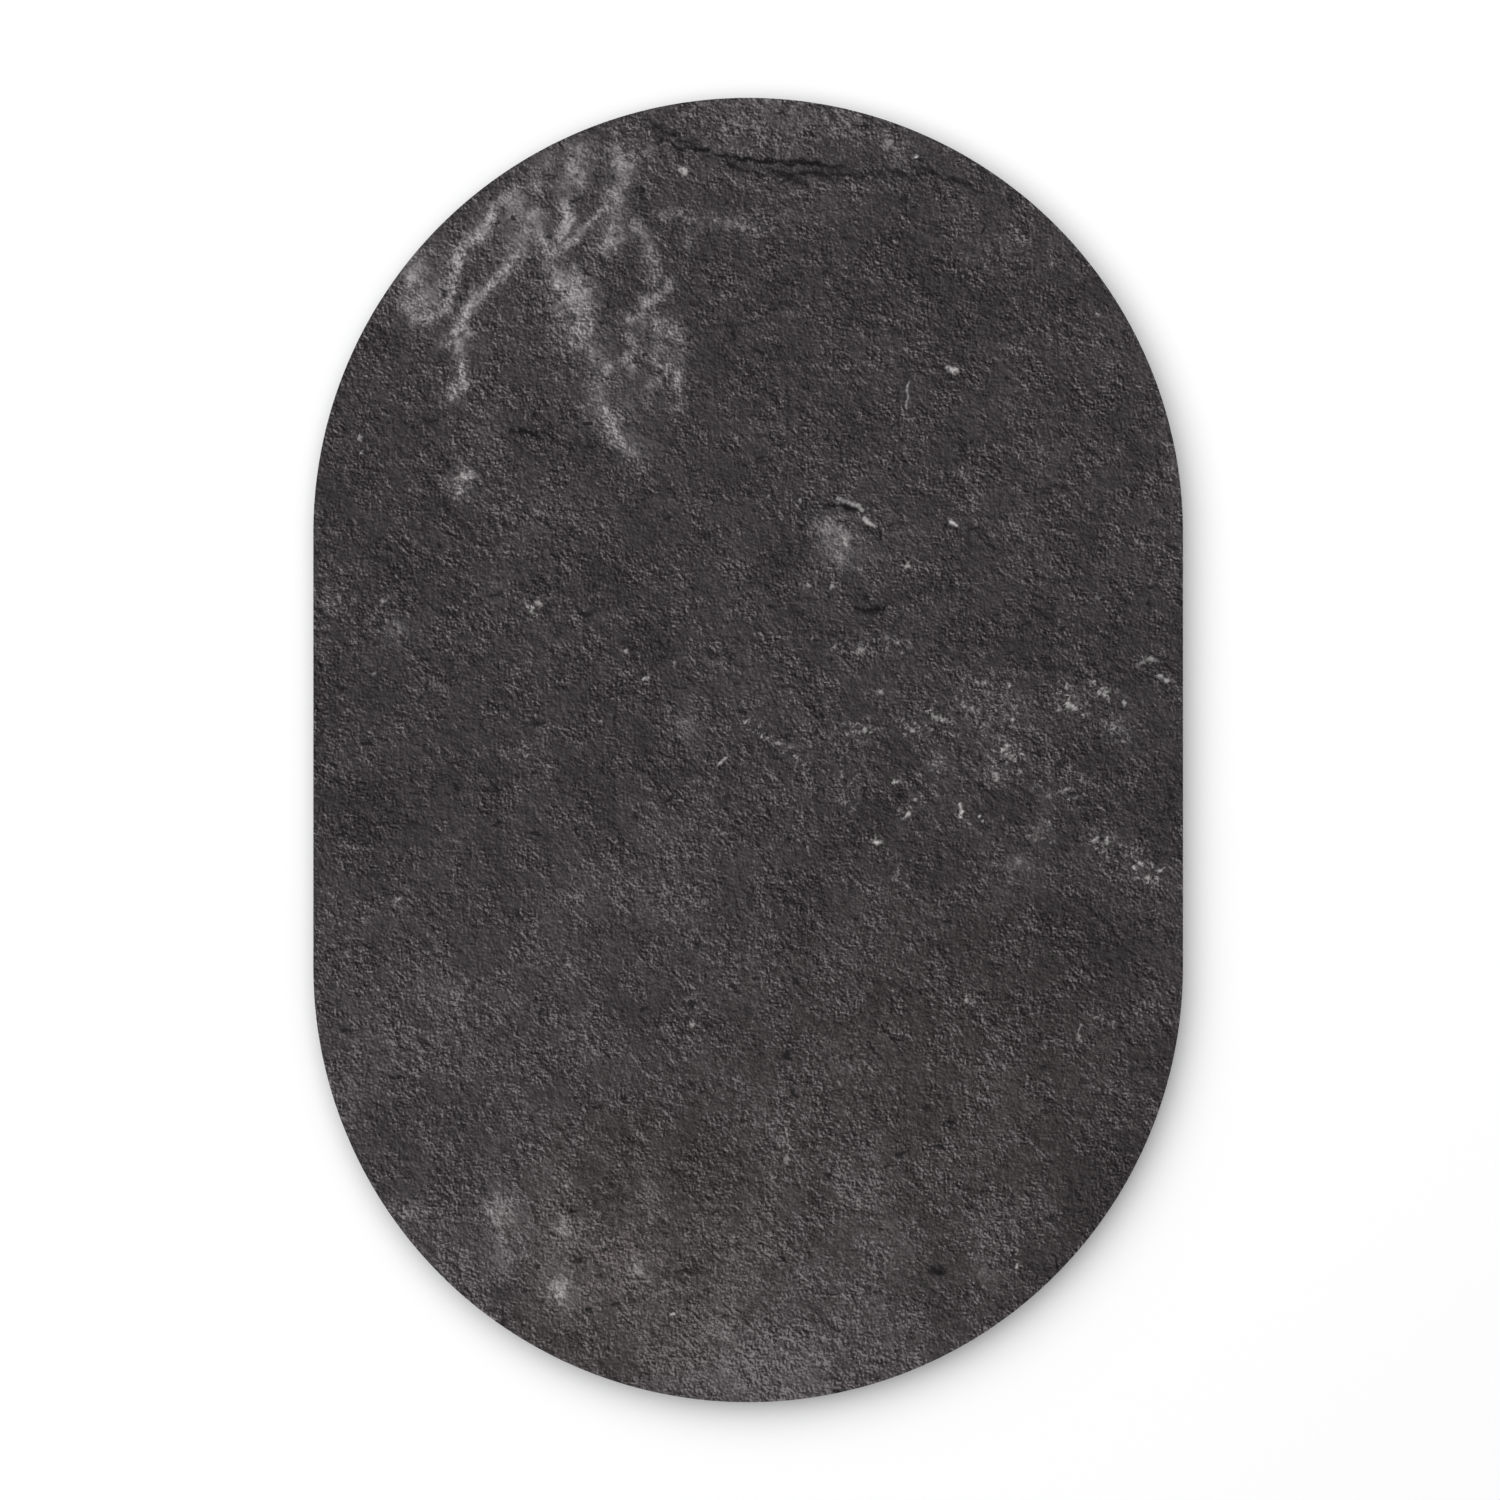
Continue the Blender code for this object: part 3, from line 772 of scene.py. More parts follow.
# Grains of calcite and bruised feldspar that shine out.
FLECKS = marks(
    MarkKind.FLECK,
    (2.6, 0.6, (-30, 266)), (1.8, 0.8, (91, 176), (95, 174)), (0.8, 0.55, (73, 169), (73, 157)),
    (2.0, 0.7, (-5, 144)), (1.8, 0.8, (76, 273)), (3.2, 0.35, (65, 279)), (3.0, 0.3, (-3, 240)),
    (1.4, 0.9, (93, 105), (96, 103)), (1.6, 0.6, (161, 200)), (2.4, 1.2, (-178, 143)),
    (1.8, 1.1, (-178, 137)), (2.2, 0.45, (-97, 67)), (2.0, 0.4, (-100, 63)), (2.4, 0.6, (-168, 68)),
    (2.6, 0.45, (-131, 126)), (2.0, 0.4, (-132, 118)), (1.6, 0.6, (-47, 33)), (1.4, 0.6, (-26, 51)),
    (1.4, 0.6, (-33, 40)), (1.2, 0.6, (-67, 13)), (1.4, 0.5, (-106, 0)), (1.6, 0.6, (-13, -7), (-10, -4)),
    (1.6, 0.5, (-161, -68)), (1.6, 0.5, (-146, -100)), (1.8, 0.55, (-170, -110)), (1.8, 0.55, (-41, -42)),
    (1.4, 0.5, (-57, 46)), (1.7, 0.5, (41, 115), (47, 113), (53, 111)),
    (1.4, 0.6, (54, 107), (56, 105), (59, 103)), (1.6, 0.5, (44, 98), (45, 94)), (1.4, 0.5, (24, 115)),
    (2.4, 0.6, (74, 85)), (2.0, 0.5, (64, 52)), (1.8, 0.5, (69, 49)), (1.6, 0.5, (40, 48)),
    (1.6, 0.5, (52, 46)), (1.4, 0.5, (29, 52)), (2.0, 0.6, (61, 27)), (1.8, 0.5, (54, 10)),
    (1.6, 0.5, (57, 8)), (1.8, 0.5, (77, 9)), (2.4, 0.6, (86, 15)), (1.8, 0.6, (90, 13)),
    (1.8, 0.6, (99, 20)), (1.6, 0.5, (105, 12)), (1.6, 0.5, (109, 30)), (1.6, 0.75, (120, 30)),
    (1.4, 0.8, (122, 14)), (2.4, 0.55, (148, 21)), (1.6, 0.6, (143, 18)), (1.6, 0.5, (147, 29)),
    (2.2, 0.55, (163, 26)), (1.8, 0.5, (165, 28)), (2.2, 0.6, (173, 21)), (1.4, 0.25, (180, 40), (187, 42)),
    (2.0, 0.7, (190, 34)), (1.6, 0.6, (192, 32)), (2.6, 0.5, (168, 11)), (2.8, 0.65, (118, 0)),
    (2.2, 0.7, (121, -3)), (1.8, 0.5, (125, -10)), (1.8, 0.4, (114, -12)), (1.6, 0.5, (146, -19)),
    (1.6, 0.5, (151, -22)), (3.0, 1.3, (67, -15)), (2.2, 1.0, (98, -26), (98, -30)), (1.6, 0.9, (106, -30)),
    (1.6, 0.9, (108, -33)), (4.0, 1.1, (58, -42)), (1.0, 0.55, (28, -44), (28, -49)), (1.8, 0.6, (73, -29)),
    (1.5, 0.5, (77, -23)), (1.8, 0.5, (87, -36)), (1.6, 0.45, (139, -34)), (2.0, 0.7, (160, -42)),
    (1.6, 0.6, (165, -43)), (1.8, 0.6, (177, -45)), (2.0, 0.75, (178, -54)), (2.4, 0.8, (184, -58)),
    (2.0, 0.7, (190, -56)), (1.4, 0.5, (68, -57)), (1.8, 0.4, (101, -114)), (1.6, 0.45, (160, 70)),
    (1.6, 0.5, (-26, -126)), (1.6, 0.5, (-19, -114)), (2.0, 0.8, (124, -238)), (1.4, 0.5, (168, -126)),
    (1.4, 0.5, (159, -123)), (0.8, 0.35, (152, -126), (152, -136)), (0.8, 0.3, (18, -170), (18, -190)),
    (1.8, 0.45, (11, -196)), (1.4, 0.8, (-35, -260), (-33, -260)), (1.6, 0.45, (-122, -155)),
    (1.6, 0.6, (-86, -255)), (1.4, 0.5, (-28, -222)), (1.8, 0.5, (-84, -200)), (1.6, 0.4, (-155, 120)),
    (1.4, 0.5, (-172, 35)), (1.2, 0.5, (9, 116)), (1.4, 0.5, (38, 75)),
)
# Loose calcite dust caught in the grain, thickest in a trail across the right of the face.
DUSTS = marks(
    MarkKind.DUST,
    (8, 0.5, (47, 9), (58, 9)), (8, 0.5, (72, 10), (81, 8)), (9, 0.7, (84, 17), (91, 11)),
    (8, 0.6, (97, 22), (103, 17)), (6, 0.6, (103, 13), (108, 10)), (6, 0.6, (106, 31), (112, 29)),
    (10, 0.4, (115, 25), (123, 18)), (8, 0.6, (143, 29), (148, 27)), (9, 0.65, (146, 24), (153, 19)),
    (8, 0.65, (160, 29), (165, 24)), (6, 0.6, (172, 22), (175, 19)), (9, 0.6, (165, 14), (173, 8)),
    (5, 0.35, (180, 40), (188, 42)), (5, 0.4, (187, 34), (192, 32)), (9, 0.8, (116, 1), (123, -4)),
    (7, 0.5, (110, -9), (115, -14)), (7, 0.6, (122, -9), (127, -12)), (7, 0.4, (84, -5), (89, -10)),
    (9, 0.4, (133, -12), (139, -19)), (8, 0.6, (144, -18), (152, -23)), (7, 0.4, (147, -11), (156, -14)),
    (6, 0.5, (72, -29), (79, -22)), (6, 0.5, (130, -38), (138, -42)), (8, 0.7, (158, -41), (163, -45)),
    (7, 0.6, (164, -42), (168, -44)), (8, 0.7, (176, -45), (179, -54)), (9, 0.65, (182, -58), (191, -56)),
    (7, 0.5, (63, -47)), (5, 0.5, (67, -56), (69, -62)), (9, 0.35, (122, -52), (128, -57)),
    (11, 0.85, (-98, 65)), (7, 0.6, (0, 12), (12, 5)), (6, 0.5, (12, 5), (24, -5), (29, -19)),
    (12, 0.35, (-29, 11)), (8, 0.5, (40, 102)), (10, 0.5, (40, 94), (45, 88)), (8, 0.4, (30, 76)),
    (5, 0.4, (-106, 2), (-100, -4)), (9, 0.4, (98, 128)), (10, 0.4, (11, -196)), (12, 0.3, (-130, 122)),
    (8, 0.35, (102, -113)), (5, 0.4, (-42, 247), (-5, 242), (20, 245)), (9, 0.2, (104, 232), (118, 228)),
    (14, 0.4, (-24, -118)), (12, 0.35, (-120, -158)), (20, 0.35, (60, -236)),
    (24, 0.3, (-10, -275), (30, -272)), (10, 0.4, (163, -125)), (9, 0.35, (-160, -70)),
    (10, 0.3, (-170, 55), (-155, 50)), (12, 0.35, (45, 10), (45, -30)), (40, 0.12, (-60, -60), (40, -120)),
    (60, 0.15, (-80, -230), (60, -250)), (40, 0.2, (-60, 285), (40, 288)), (8, 0.4, (104, 30), (114, 28)),
    (10, 0.4, (60, 49), (70, 47)), (8, 0.4, (38, 47), (52, 46)),
)
# Broad paler ground: more dust and lime towards the foot and the upper left.
PALES = marks(
    MarkKind.PALE,
    (80, 0.06, (-115, 225)), (60, 0.03, (-62, 165)), (60, 0.08, (-150, 205)), (120, 0.05, (-60, -60)),
    (150, 0.10, (-90, -250)), (200, 0.16, (0, -305)), (60, 0.12, (10, -300)), (80, 0.06, (90, -215)),
    (70, 0.20, (10, 294)), (60, 0.02, (110, 10)), (90, -0.06, (70, 215)), (120, -0.04, (130, -90)),
    (130, 0.05, (-170, -130)), (110, 0.05, (-120, -120)), (140, 0.05, (60, -210)), (100, -0.04, (-140, 40)),
    (70, -0.05, (-70, 30)), (60, -0.05, (180, 60)), (80, -0.06, (-165, -15)), (60, 0.07, (-178, -115)),
    (70, -0.08, (152, -185)), (60, -0.06, (-12, -198)), (90, 0.06, (-100, -200)), (60, -0.06, (5, 232)),
    (50, 0.04, (-100, 250)), (60, -0.09, (180, -10)), (50, -0.06, (-54, 205)), (50, -0.05, (-170, 200)),
    (60, 0.05, (130, -60)),
)
# Ground stained a little warmer, or, below 0, cooler.
WARMS = marks(
    MarkKind.WARM,
    (110, 0.5, (-60, -235)), (8, 1.4, (-112, -218)), (260, 0.2, (80, -170)), (60, -0.6, (-140, -225)),
)


@dataclass
class RivenSlab:
    """The stone: one closed slab with a split face, sawn sides and a sawn back."""

    columns: int = 196
    rows_in_third: int = 98
    swell_mm: float = 0.30
    lump_mm: float = 0.10
    crest_mm: float = 0.07
    step_mm: float = 0.45
    pit_mm: float = 0.60
    fleck_mm: float = 0.12
    arris_mm: float = 0.15
    haze_share: float = 0.95
    haze_strength: float = 0.27
    wander_mm: float = 1.1
    deepest_mm: float = 1.4
    level_mm: float = 0.01
    mark_reach_mm: tuple[float, float] = (2.6, 1.7)
    slot: str = "riven_basalt"
    low: Vector = field(default_factory=lambda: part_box("stone_face")[0])
    high: Vector = field(default_factory=lambda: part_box("stone_face")[1])

    def build(self) -> None:
        """Shape the slab, then give it relief and the places of its marks."""
        bm = self._grid()
        for reach, kinds in zip(self.mark_reach_mm, ((LEDGES, PITS, FLECKS), (LEDGES, FLECKS))):
            self._refine(bm, [mark for kind in kinds for mark in kind], reach)
        self._close(bm)
        finishes = (RivenBasalt(), SawnBasalt())
        stone = add_piece(
            bm, "riven_stone", "panel", finishes, ("stone_face",), smooth_below=60.0
        )
        self._split(stone.data)

    def _grid(self) -> bmesh.types.BMesh:
        """Draw a flat grid of even cells out to the stadium outline.

        Returns:
            The grid, on the plane of the face.
        """
        middle = (self.low + self.high) / 2
        radius = (self.high.x - self.low.x) / 2
        straight = (self.high.z - self.low.z) / 2 - radius
        bm = bmesh.new()
        bmesh.ops.create_grid(bm, x_segments=self.columns, y_segments=3 * self.rows_in_third, size=1.0)
        for vert in bm.verts:
            across, up = vert.co.x, vert.co.y * 3
            past = max(abs(up) - 1, 0) / 2
            x = radius * across * math.sqrt(1 - past * past / 2)
            z = straight * min(abs(up), 1) + radius * past * math.sqrt(1 - across * across / 2)
            vert.co = (middle.x + x, self.low.y, middle.z + math.copysign(z, up))
        return bm

    def _refine(self, bm: bmesh.types.BMesh, near: list[Mark], reach: float) -> None:
        """Halve the cells under and beside marks that are finer than the grid.

        Args:
            bm: the grid.
            near: the marks.
            reach: how far past a mark's edge the cells are halved, in millimetres.
        """
        middle = (self.low + self.high) / 2
        faces = bm.faces[:]
        centres = np.array([face.calc_center_median() for face in faces])
        x, z = (centres[:, 0] - middle.x) / MM, (centres[:, 2] - middle.z) / MM
        chosen = np.zeros(len(faces), bool)
        for mark in near:
            chosen |= mark.distance(x, z) < mark.width / 2 + reach
        edges = dict.fromkeys(edge for face, take in zip(faces, chosen) if take for edge in face.edges)
        bmesh.ops.subdivide_edges(bm, edges=list(edges), cuts=1, use_grid_fill=True)

    def _close(self, bm: bmesh.types.BMesh) -> None:
        """Add the arris, the sides and the back.

        Args:
            bm: the grid; all but its face takes the second finish.
        """
        depth = self.high.y - self.low.y
        for step in (self.arris_mm * MM, depth / 2 - self.arris_mm * MM, depth / 2):
            rim = [edge for edge in bm.edges if edge.is_boundary]
            made = bmesh.ops.extrude_edge_only(bm, edges=rim)["geom"]
            verts = [item for item in made if isinstance(item, bmesh.types.BMVert)]
            bmesh.ops.translate(bm, verts=verts, vec=(0, step, 0))
            for face in (item for item in made if isinstance(item, bmesh.types.BMFace)):
                face.material_index = 1
        rim = [edge for edge in bm.edges if edge.is_boundary]
        for face in bmesh.ops.edgeloop_fill(bm, edges=rim)["faces"]:
            face.material_index = 1

    def _split(self, mesh: bpy.types.Mesh) -> None:
        """Press the face back into relief and write each vertex's marks.

        Args:
            mesh: the closed slab's mesh.
        """
        middle = (self.low + self.high) / 2
        places = np.empty(len(mesh.vertices) * 3, np.float32)
        mesh.vertices.foreach_get("co", places)
        places = places.reshape(-1, 3)
        x, z = (places[:, 0] - middle.x) / MM, (places[:, 2] - middle.z) / MM
        wobble, fray, crumb, patchy = (
            uneven(x, z, size, seed) for size, seed in ((5.0, 11), (1.6, 12), (1.0, 13), (6.0, 14))
        )
        shown = {kind: np.zeros(x.shape) for kind in MarkKind}
        # No split or stain follows a drawn line, so the places wander a little first.
        drawn_x, drawn_z = (
            place + self.wander_mm * (uneven(x, z, 4.0, seed) + 0.5 * uneven(x, z, 1.5, seed + 1))
            for place, seed in ((x, 31), (z, 33))
        )
        for mark in BLOOMS + LEDGES + PITS + FLECKS + DUSTS:
            ragged = {MarkKind.BLOOM: 2.0 * fray, MarkKind.FLECK: 1.6 * crumb}.get(mark.kind, 0.6 * fray)
            amount = mark.amount(drawn_x, drawn_z, wobble, ragged)
            if mark.kind is MarkKind.BLOOM:
                # A streak is patchy along its length and fades into a thin haze beside it.
                haze = mark.distance(drawn_x, drawn_z) / (self.haze_share * mark.width)
                haze = self.haze_strength * mark.strength * np.exp(-haze * haze)
                amount = np.maximum(amount * (0.8 + 0.5 * patchy), haze)
            shown[mark.kind] = np.maximum(shown[mark.kind], amount)
        for mark in PALES + WARMS:
            share = mark.distance(x, z) / (mark.width / 2)
            shown[mark.kind] += mark.strength * np.exp(-share * share)
        hollow = (
            self.swell_mm * (0.5 + 0.5 * uneven(x, z, 55.0, 1, 1.4))
            + self.lump_mm * (0.5 + 0.5 * uneven(x, z, 12.0, 2, 1.3))
            + self.crest_mm * (0.5 + 0.5 * uneven(x, z, 4.0, 3, 1.2))
            + self.step_mm * shown[MarkKind.LEDGE]
            + self.pit_mm * shown[MarkKind.PIT]
            - self.fleck_mm * shown[MarkKind.FLECK]
        )
        # The arris follows the face, so the sawn side meets it everywhere.
        moved = places[:, 1] < self.low.y + (self.arris_mm + self.level_mm) * MM
        places[moved, 1] += (np.clip(hollow, 0, self.deepest_mm) * MM)[moved]
        mesh.vertices.foreach_set("co", places.ravel())
        values = {
            "tone": shown[MarkKind.PALE] + 0.03 * uneven(x, z, 30.0, 21),
            "bloom": shown[MarkKind.BLOOM],
            # dark holds the painted shade of the steps, cracks and pits.
            "dark": np.clip(np.maximum(shown[MarkKind.LEDGE], shown[MarkKind.PIT]), 0, 1),
            "fleck": np.clip(shown[MarkKind.FLECK], 0, 1),
            "dust": np.clip(shown[MarkKind.DUST], 0, 1),
            "warm": np.clip(shown[MarkKind.WARM], -0.6, 1.4),
        }
        for name, value in values.items():
            layer = mesh.attributes.new(name, "FLOAT", "POINT")
            layer.data.foreach_set("value", value.astype(np.float32))
        mesh.update()


# ---------------------------------------------------------------- layers behind the stone


@dataclass
class Layers:
    """The composite sheet behind the stone, with the set adhesive between its layers."""

    inset_mm: float = 0.25
    clear_mm: float = 0.02
    steps: int = 144

    def build(self) -> None:
        """Dress the sheet's layers and lay a film in each gap between them."""
        for node, finish in (
            ("glass_backing", GLASS), ("front_skin", PRIMED), ("core", POLYETHYLENE), ("rear_skin", PRIMED),
        ):
            dress_node(node, finish)
        for front, back, finish, slot in (
            ("stone_face", "glass_backing", EPOXY, "glass_and_resin"),
            ("glass_backing", "front_skin", EPOXY, "glass_and_resin"),
            ("front_skin", "core", POLYETHYLENE, "black_polyethylene"),
            ("core", "rear_skin", POLYETHYLENE, "black_polyethylene"),
        ):
            self._film(front, back, finish)
        # The wall is lit by what reaches it past the panel's edge, never by the shaded back of the sheet.
        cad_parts["rear_skin"].visible_diffuse = False

    def _film(self, front: str, back: str, finish: Finish) -> None:
        """Lay one film of adhesive in the gap between two layers.

        Args:
            front: the layer on its front.
            back: the layer behind it.
            finish: what the film is.
        """
        low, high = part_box(front)
        near, far = high.y + self.clear_mm * MM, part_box(back)[0].y - self.clear_mm * MM
        middle = (low + high) / 2
        radius = (high.x - low.x) / 2 - self.inset_mm * MM
        straight = (high.z - low.z - high.x + low.x) / 2
        bm = bmesh.new()
        made = bmesh.ops.create_circle(bm, cap_ends=True, radius=radius, segments=self.steps)["verts"]
        for angle, axis in ((math.pi / self.steps, "Z"), (math.pi / 2, "X")):
            bmesh.ops.rotate(bm, verts=made, matrix=Matrix.Rotation(angle, 3, axis))
        for vert in made:
            vert.co.z += math.copysign(straight, vert.co.z)
        bmesh.ops.translate(bm, verts=made, vec=(middle.x, near, middle.z))
        grown = bmesh.ops.extrude_face_region(bm, geom=bm.faces[:])["geom"]
        top = [item for item in grown if isinstance(item, bmesh.types.BMVert)]
        bmesh.ops.translate(bm, verts=top, vec=(0, far - near, 0))
        add_piece(bm, f"film_{front}_to_{back}", "panel", (finish,))


def dress_node(node: str, finish: Finish) -> None:
    """Give a CAD node its finish.

    Args:
        node: the node's name.
        finish: the finish.
    """
    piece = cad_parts[node]
    if not piece.material_slots:
        piece.data.materials.append(None)
    for held in piece.material_slots:
        held.material = material_of(finish)
    LOG.info("%s dressed as %s", node, finish.name)


# ---------------------------------------------------------------- rails, tape and bumpers


@dataclass
class Rails:
    """The extruded rails, the foam tape that holds two of them, and the rubber bumpers."""

    tape_clear_mm: float = 0.02
    tape_swell_mm: float = 0.28
    tape_bulge_mm: float = 0.12
    bumper_dimple_mm: float = 0.35
    bumper_base_mm: float = 0.25
    base_share: float = 0.97
    # (share of the radius, share of the height) up the bumper, then (share of the radius, share of
    # the dimple's depth) down into its dimple.
    bumper_shares: tuple[tuple[float, float], ...] = (
        (1.0, 0.0), (0.98, 0.45), (0.90, 0.80), (0.78, 0.96), (0.66, 1.0), (0.34, 1.0),
    )
    dimple_shares: tuple[tuple[float, float], ...] = ((0.26, 0.4), (0.18, 1.0), (0.0, 1.0))

    def build(self) -> None:
        """Dress the rails and build the tapes and bumpers."""
        dress_node("wall_rail", MILL)
        for rail, finish in (("hook_rail", MILL), ("spacer_rail", ANODISED)):
            dress_node(rail, finish)
            self._tape(f"{rail}_tape", rail)
        for side in ("left", "right"):
            self._bumper(f"bumper_{side}")

    def _tape(self, node: str, rail: str) -> None:
        """Build one strip of foam tape that fills the space between the sheet and a rail.

        Args:
            node: the CAD tape that it replaces.
            rail: the rail that it bonds.
        """
        low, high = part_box(node)
        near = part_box("rear_skin")[1].y + self.tape_clear_mm * MM
        far = min(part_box(rail)[0].y - self.tape_clear_mm * MM, high.y + self.tape_swell_mm * MM)
        bm = bmesh.new()
        bmesh.ops.create_cube(bm, size=1.0)
        size = (high.x - low.x, far - near, high.z - low.z)
        bmesh.ops.scale(bm, verts=bm.verts[:], vec=size)
        across = [edge for edge in bm.edges if abs(edge.verts[0].co.y - edge.verts[1].co.y) > MERGE]
        bmesh.ops.subdivide_edges(bm, edges=across, cuts=3)
        for vert in bm.verts:
            share = 1 - (2 * vert.co.y / size[1]) ** 2
            vert.co.z += math.copysign(self.tape_bulge_mm * MM * share, vert.co.z)
        centre = ((low.x + high.x) / 2, (near + far) / 2, (low.z + high.z) / 2)
        bmesh.ops.translate(bm, verts=bm.verts[:], vec=centre)
        add_piece(bm, f"foam_{node}", "panel", (FOAM,), (node,))

    def _bumper(self, node: str) -> None:
        """Turn one moulded bumper: a domed foot with a moulding dimple.

        Args:
            node: the CAD bumper that it replaces.
        """
        low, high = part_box(node)
        radius, tall = (high.x - low.x) / 2, high.y - low.y
        base, dimple = self.bumper_base_mm * MM, self.bumper_dimple_mm * MM
        outline = [(0.0, -base), (radius * self.base_share, -base)]
        outline += [(radius * out, tall * up) for out, up in self.bumper_shares]
        outline += [(radius * out, tall - dimple * down) for out, down in self.dimple_shares]
        bm = bmesh.new()
        turn_outline(bm, outline, closed=False)
        centre = ((low.x + high.x) / 2, low.y, (low.z + high.z) / 2)
        bmesh.ops.translate(bm, verts=bm.verts[:], vec=centre)
        add_piece(bm, f"rubber_{node}", "panel", (RUBBER,), (node,), smooth_below=50.0)


# ---------------------------------------------------------------- screws, washers and plugs


@dataclass
class Washer:
    """A stamped washer: rounded over on the die side, square on the other."""

    bore_mm: float = 2.32
    rounded_share: float = 0.3

    def build(self, node: str, screw: str) -> None:
        """Stamp one washer round its screw.

        Args:
            node: the CAD washer that it replaces.
            screw: the CAD screw through it.
        """
        low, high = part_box(node)
        outer, thick = (high.x - low.x) / 2, high.y - low.y
        bore, rounded = self.bore_mm * MM, thick * self.rounded_share
        inset = rounded * self.rounded_share
        outline = (
            (bore, thick), (bore, rounded), (bore + rounded, 0.0), (outer - rounded, 0.0),
            (outer - inset, inset), (outer, rounded), (outer, thick),
        )
        bm = bmesh.new()
        turn_outline(bm, outline, closed=True)
        axis = sum(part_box(screw), Vector()) / 2
        bmesh.ops.translate(bm, verts=bm.verts[:], vec=(axis.x, low.y, axis.z))
        add_piece(
            bm, f"stamped_{node}", "wall_side", (ZINC,), (node,), smooth_below=40.0
        )


@dataclass
class Screw:
    """A pan-head screw: a domed head with a cross recess, a plain shank, and a thread down to its point."""

    pitch_mm: float = 1.6
    core_mm: float = 1.35
    crest_mm: float = 2.0
    # Shares of the pitch at which the thread's ridge starts, is full, starts to fall, and has ended.
    ridge_shares: tuple[float, float, float, float] = (0.42, 0.66, 0.74, 1.0)
    steps: int = 20
    point_mm: float = 5.5
    point_clear_mm: float = 0.2
    blunt_share: float = 0.03
    head_mm: float = 2.4
    # The head's side: (share of its radius, millimetres from its crown).
    crown: tuple[float, float] = (0.68, 0.12)
    dome: tuple[tuple[float, float], ...] = ((0.82, 0.70), (0.94, 1.35), (1.0, 1.90), (0.985, 2.4))
    shank_mm: float = 6.0
    shank_share: float = 1.02
    shank_turns: float = 1.2
    cross_mm: float = 4.2
    wing_mm: float = 1.0
    cross_top_mm: float = 0.08
    cross_taper: float = 0.6
    recess_mm: float = 1.5

    def build(self, node: str) -> None:
        """Roll one screw.

        Args:
            node: the CAD screw that it replaces.
        """
        low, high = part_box(node)
        start = (self.head_mm + self.shank_mm) * MM
        bm, body = bmesh.new(), bmesh.new()
        take_shell(bm, self._thread(start, high.y - low.y))
        radius, core = (high.x - low.x) / 2, self.core_mm * self.shank_share * MM
        end = start + self.pitch_mm * self.shank_turns * MM
        outline = [(radius * share, down * MM) for share, down in (self.crown, *self.dome)]
        outline += [(core, self.head_mm * MM), (core, end), (0.0, end)]
        turn_outline(body, outline, closed=False)
        self._recess(body)
        take_shell(bm, body)
        centre = ((low.x + high.x) / 2, low.y, (low.z + high.z) / 2)
        bmesh.ops.translate(bm, verts=bm.verts[:], vec=centre)
        add_piece(
            bm, f"threaded_{node}", "wall_side", (ZINC,), (node,),
            smooth_below=32.0, turn_out=False,
        )

    def _thread(self, start: float, end: float) -> bmesh.types.BMesh:
        """Spin one ridge into the thread, and draw its end down to the point.

        Args:
            start: where the thread starts along the axis.
            end: where the point is.

        Returns:
            The thread and its core, as one closed shell.
        """
        pitch, core, crest = self.pitch_mm * MM, self.core_mm * MM, self.crest_mm * MM
        turns = int((end - start - self.point_clear_mm * MM) / pitch) - 1
        thread = bmesh.new()
        ridge = zip((core, core, crest, crest, core), (0.0, *self.ridge_shares))
        corners = [thread.verts.new((far, start + share * pitch, 0.0)) for far, share in ridge]
        sides = [thread.edges.new(pair) for pair in zip(corners, corners[1:])]
        bmesh.ops.spin(
            thread, geom=corners + sides, axis=(0, 1, 0), cent=(0, 0, 0), dvec=(0, pitch / self.steps, 0),
            angle=FULL_TURN * turns, steps=self.steps * turns, use_merge=False, use_duplicate=False,
        )
        bmesh.ops.remove_doubles(thread, verts=thread.verts[:], dist=2 * MERGE)
        ends = [edge for edge in thread.edges if edge.is_boundary]
        bmesh.ops.holes_fill(thread, edges=ends, sides=0)
        for vert in thread.verts:
            left = (end - vert.co.y) / (self.point_mm * MM)
            if left < 1:
                vert.co.x *= max(left, self.blunt_share)
                vert.co.z *= max(left, self.blunt_share)
        return thread

    def _recess(self, bm: bmesh.types.BMesh) -> None:
        """Sink a tapered cross into the open crown of a head.

        Args:
            bm: the screw, with its axis on Y and the rim of its crown open.
        """
        rim = [edge for edge in bm.edges if edge.is_boundary]
        arm, wing, top = self.cross_mm / 2 * MM, self.wing_mm / 2 * MM, self.cross_top_mm * MM
        corners = []
        for turn in range(4):
            around = Matrix.Rotation(-turn * math.pi / 2, 3, "Y")
            for place in ((arm, top, -wing), (arm, top, wing), (wing, top, wing)):
                corners.append(bm.verts.new(around @ Vector(place)))
        cross = [bm.edges.new(pair) for pair in zip(corners, corners[1:] + corners[:1])]
        bmesh.ops.bridge_loops(bm, edges=rim + cross)
        sunk = bmesh.ops.extrude_edge_only(bm, edges=cross)["geom"]
        verts = [item for item in sunk if isinstance(item, bmesh.types.BMVert)]
        bmesh.ops.scale(bm, verts=verts, vec=(self.cross_taper, 1.0, self.cross_taper))
        bmesh.ops.translate(bm, verts=verts, vec=(0, self.recess_mm * MM, 0))
        floor = [item for item in sunk if isinstance(item, bmesh.types.BMEdge) and item.is_boundary]
        bmesh.ops.edgeloop_fill(bm, edges=floor)


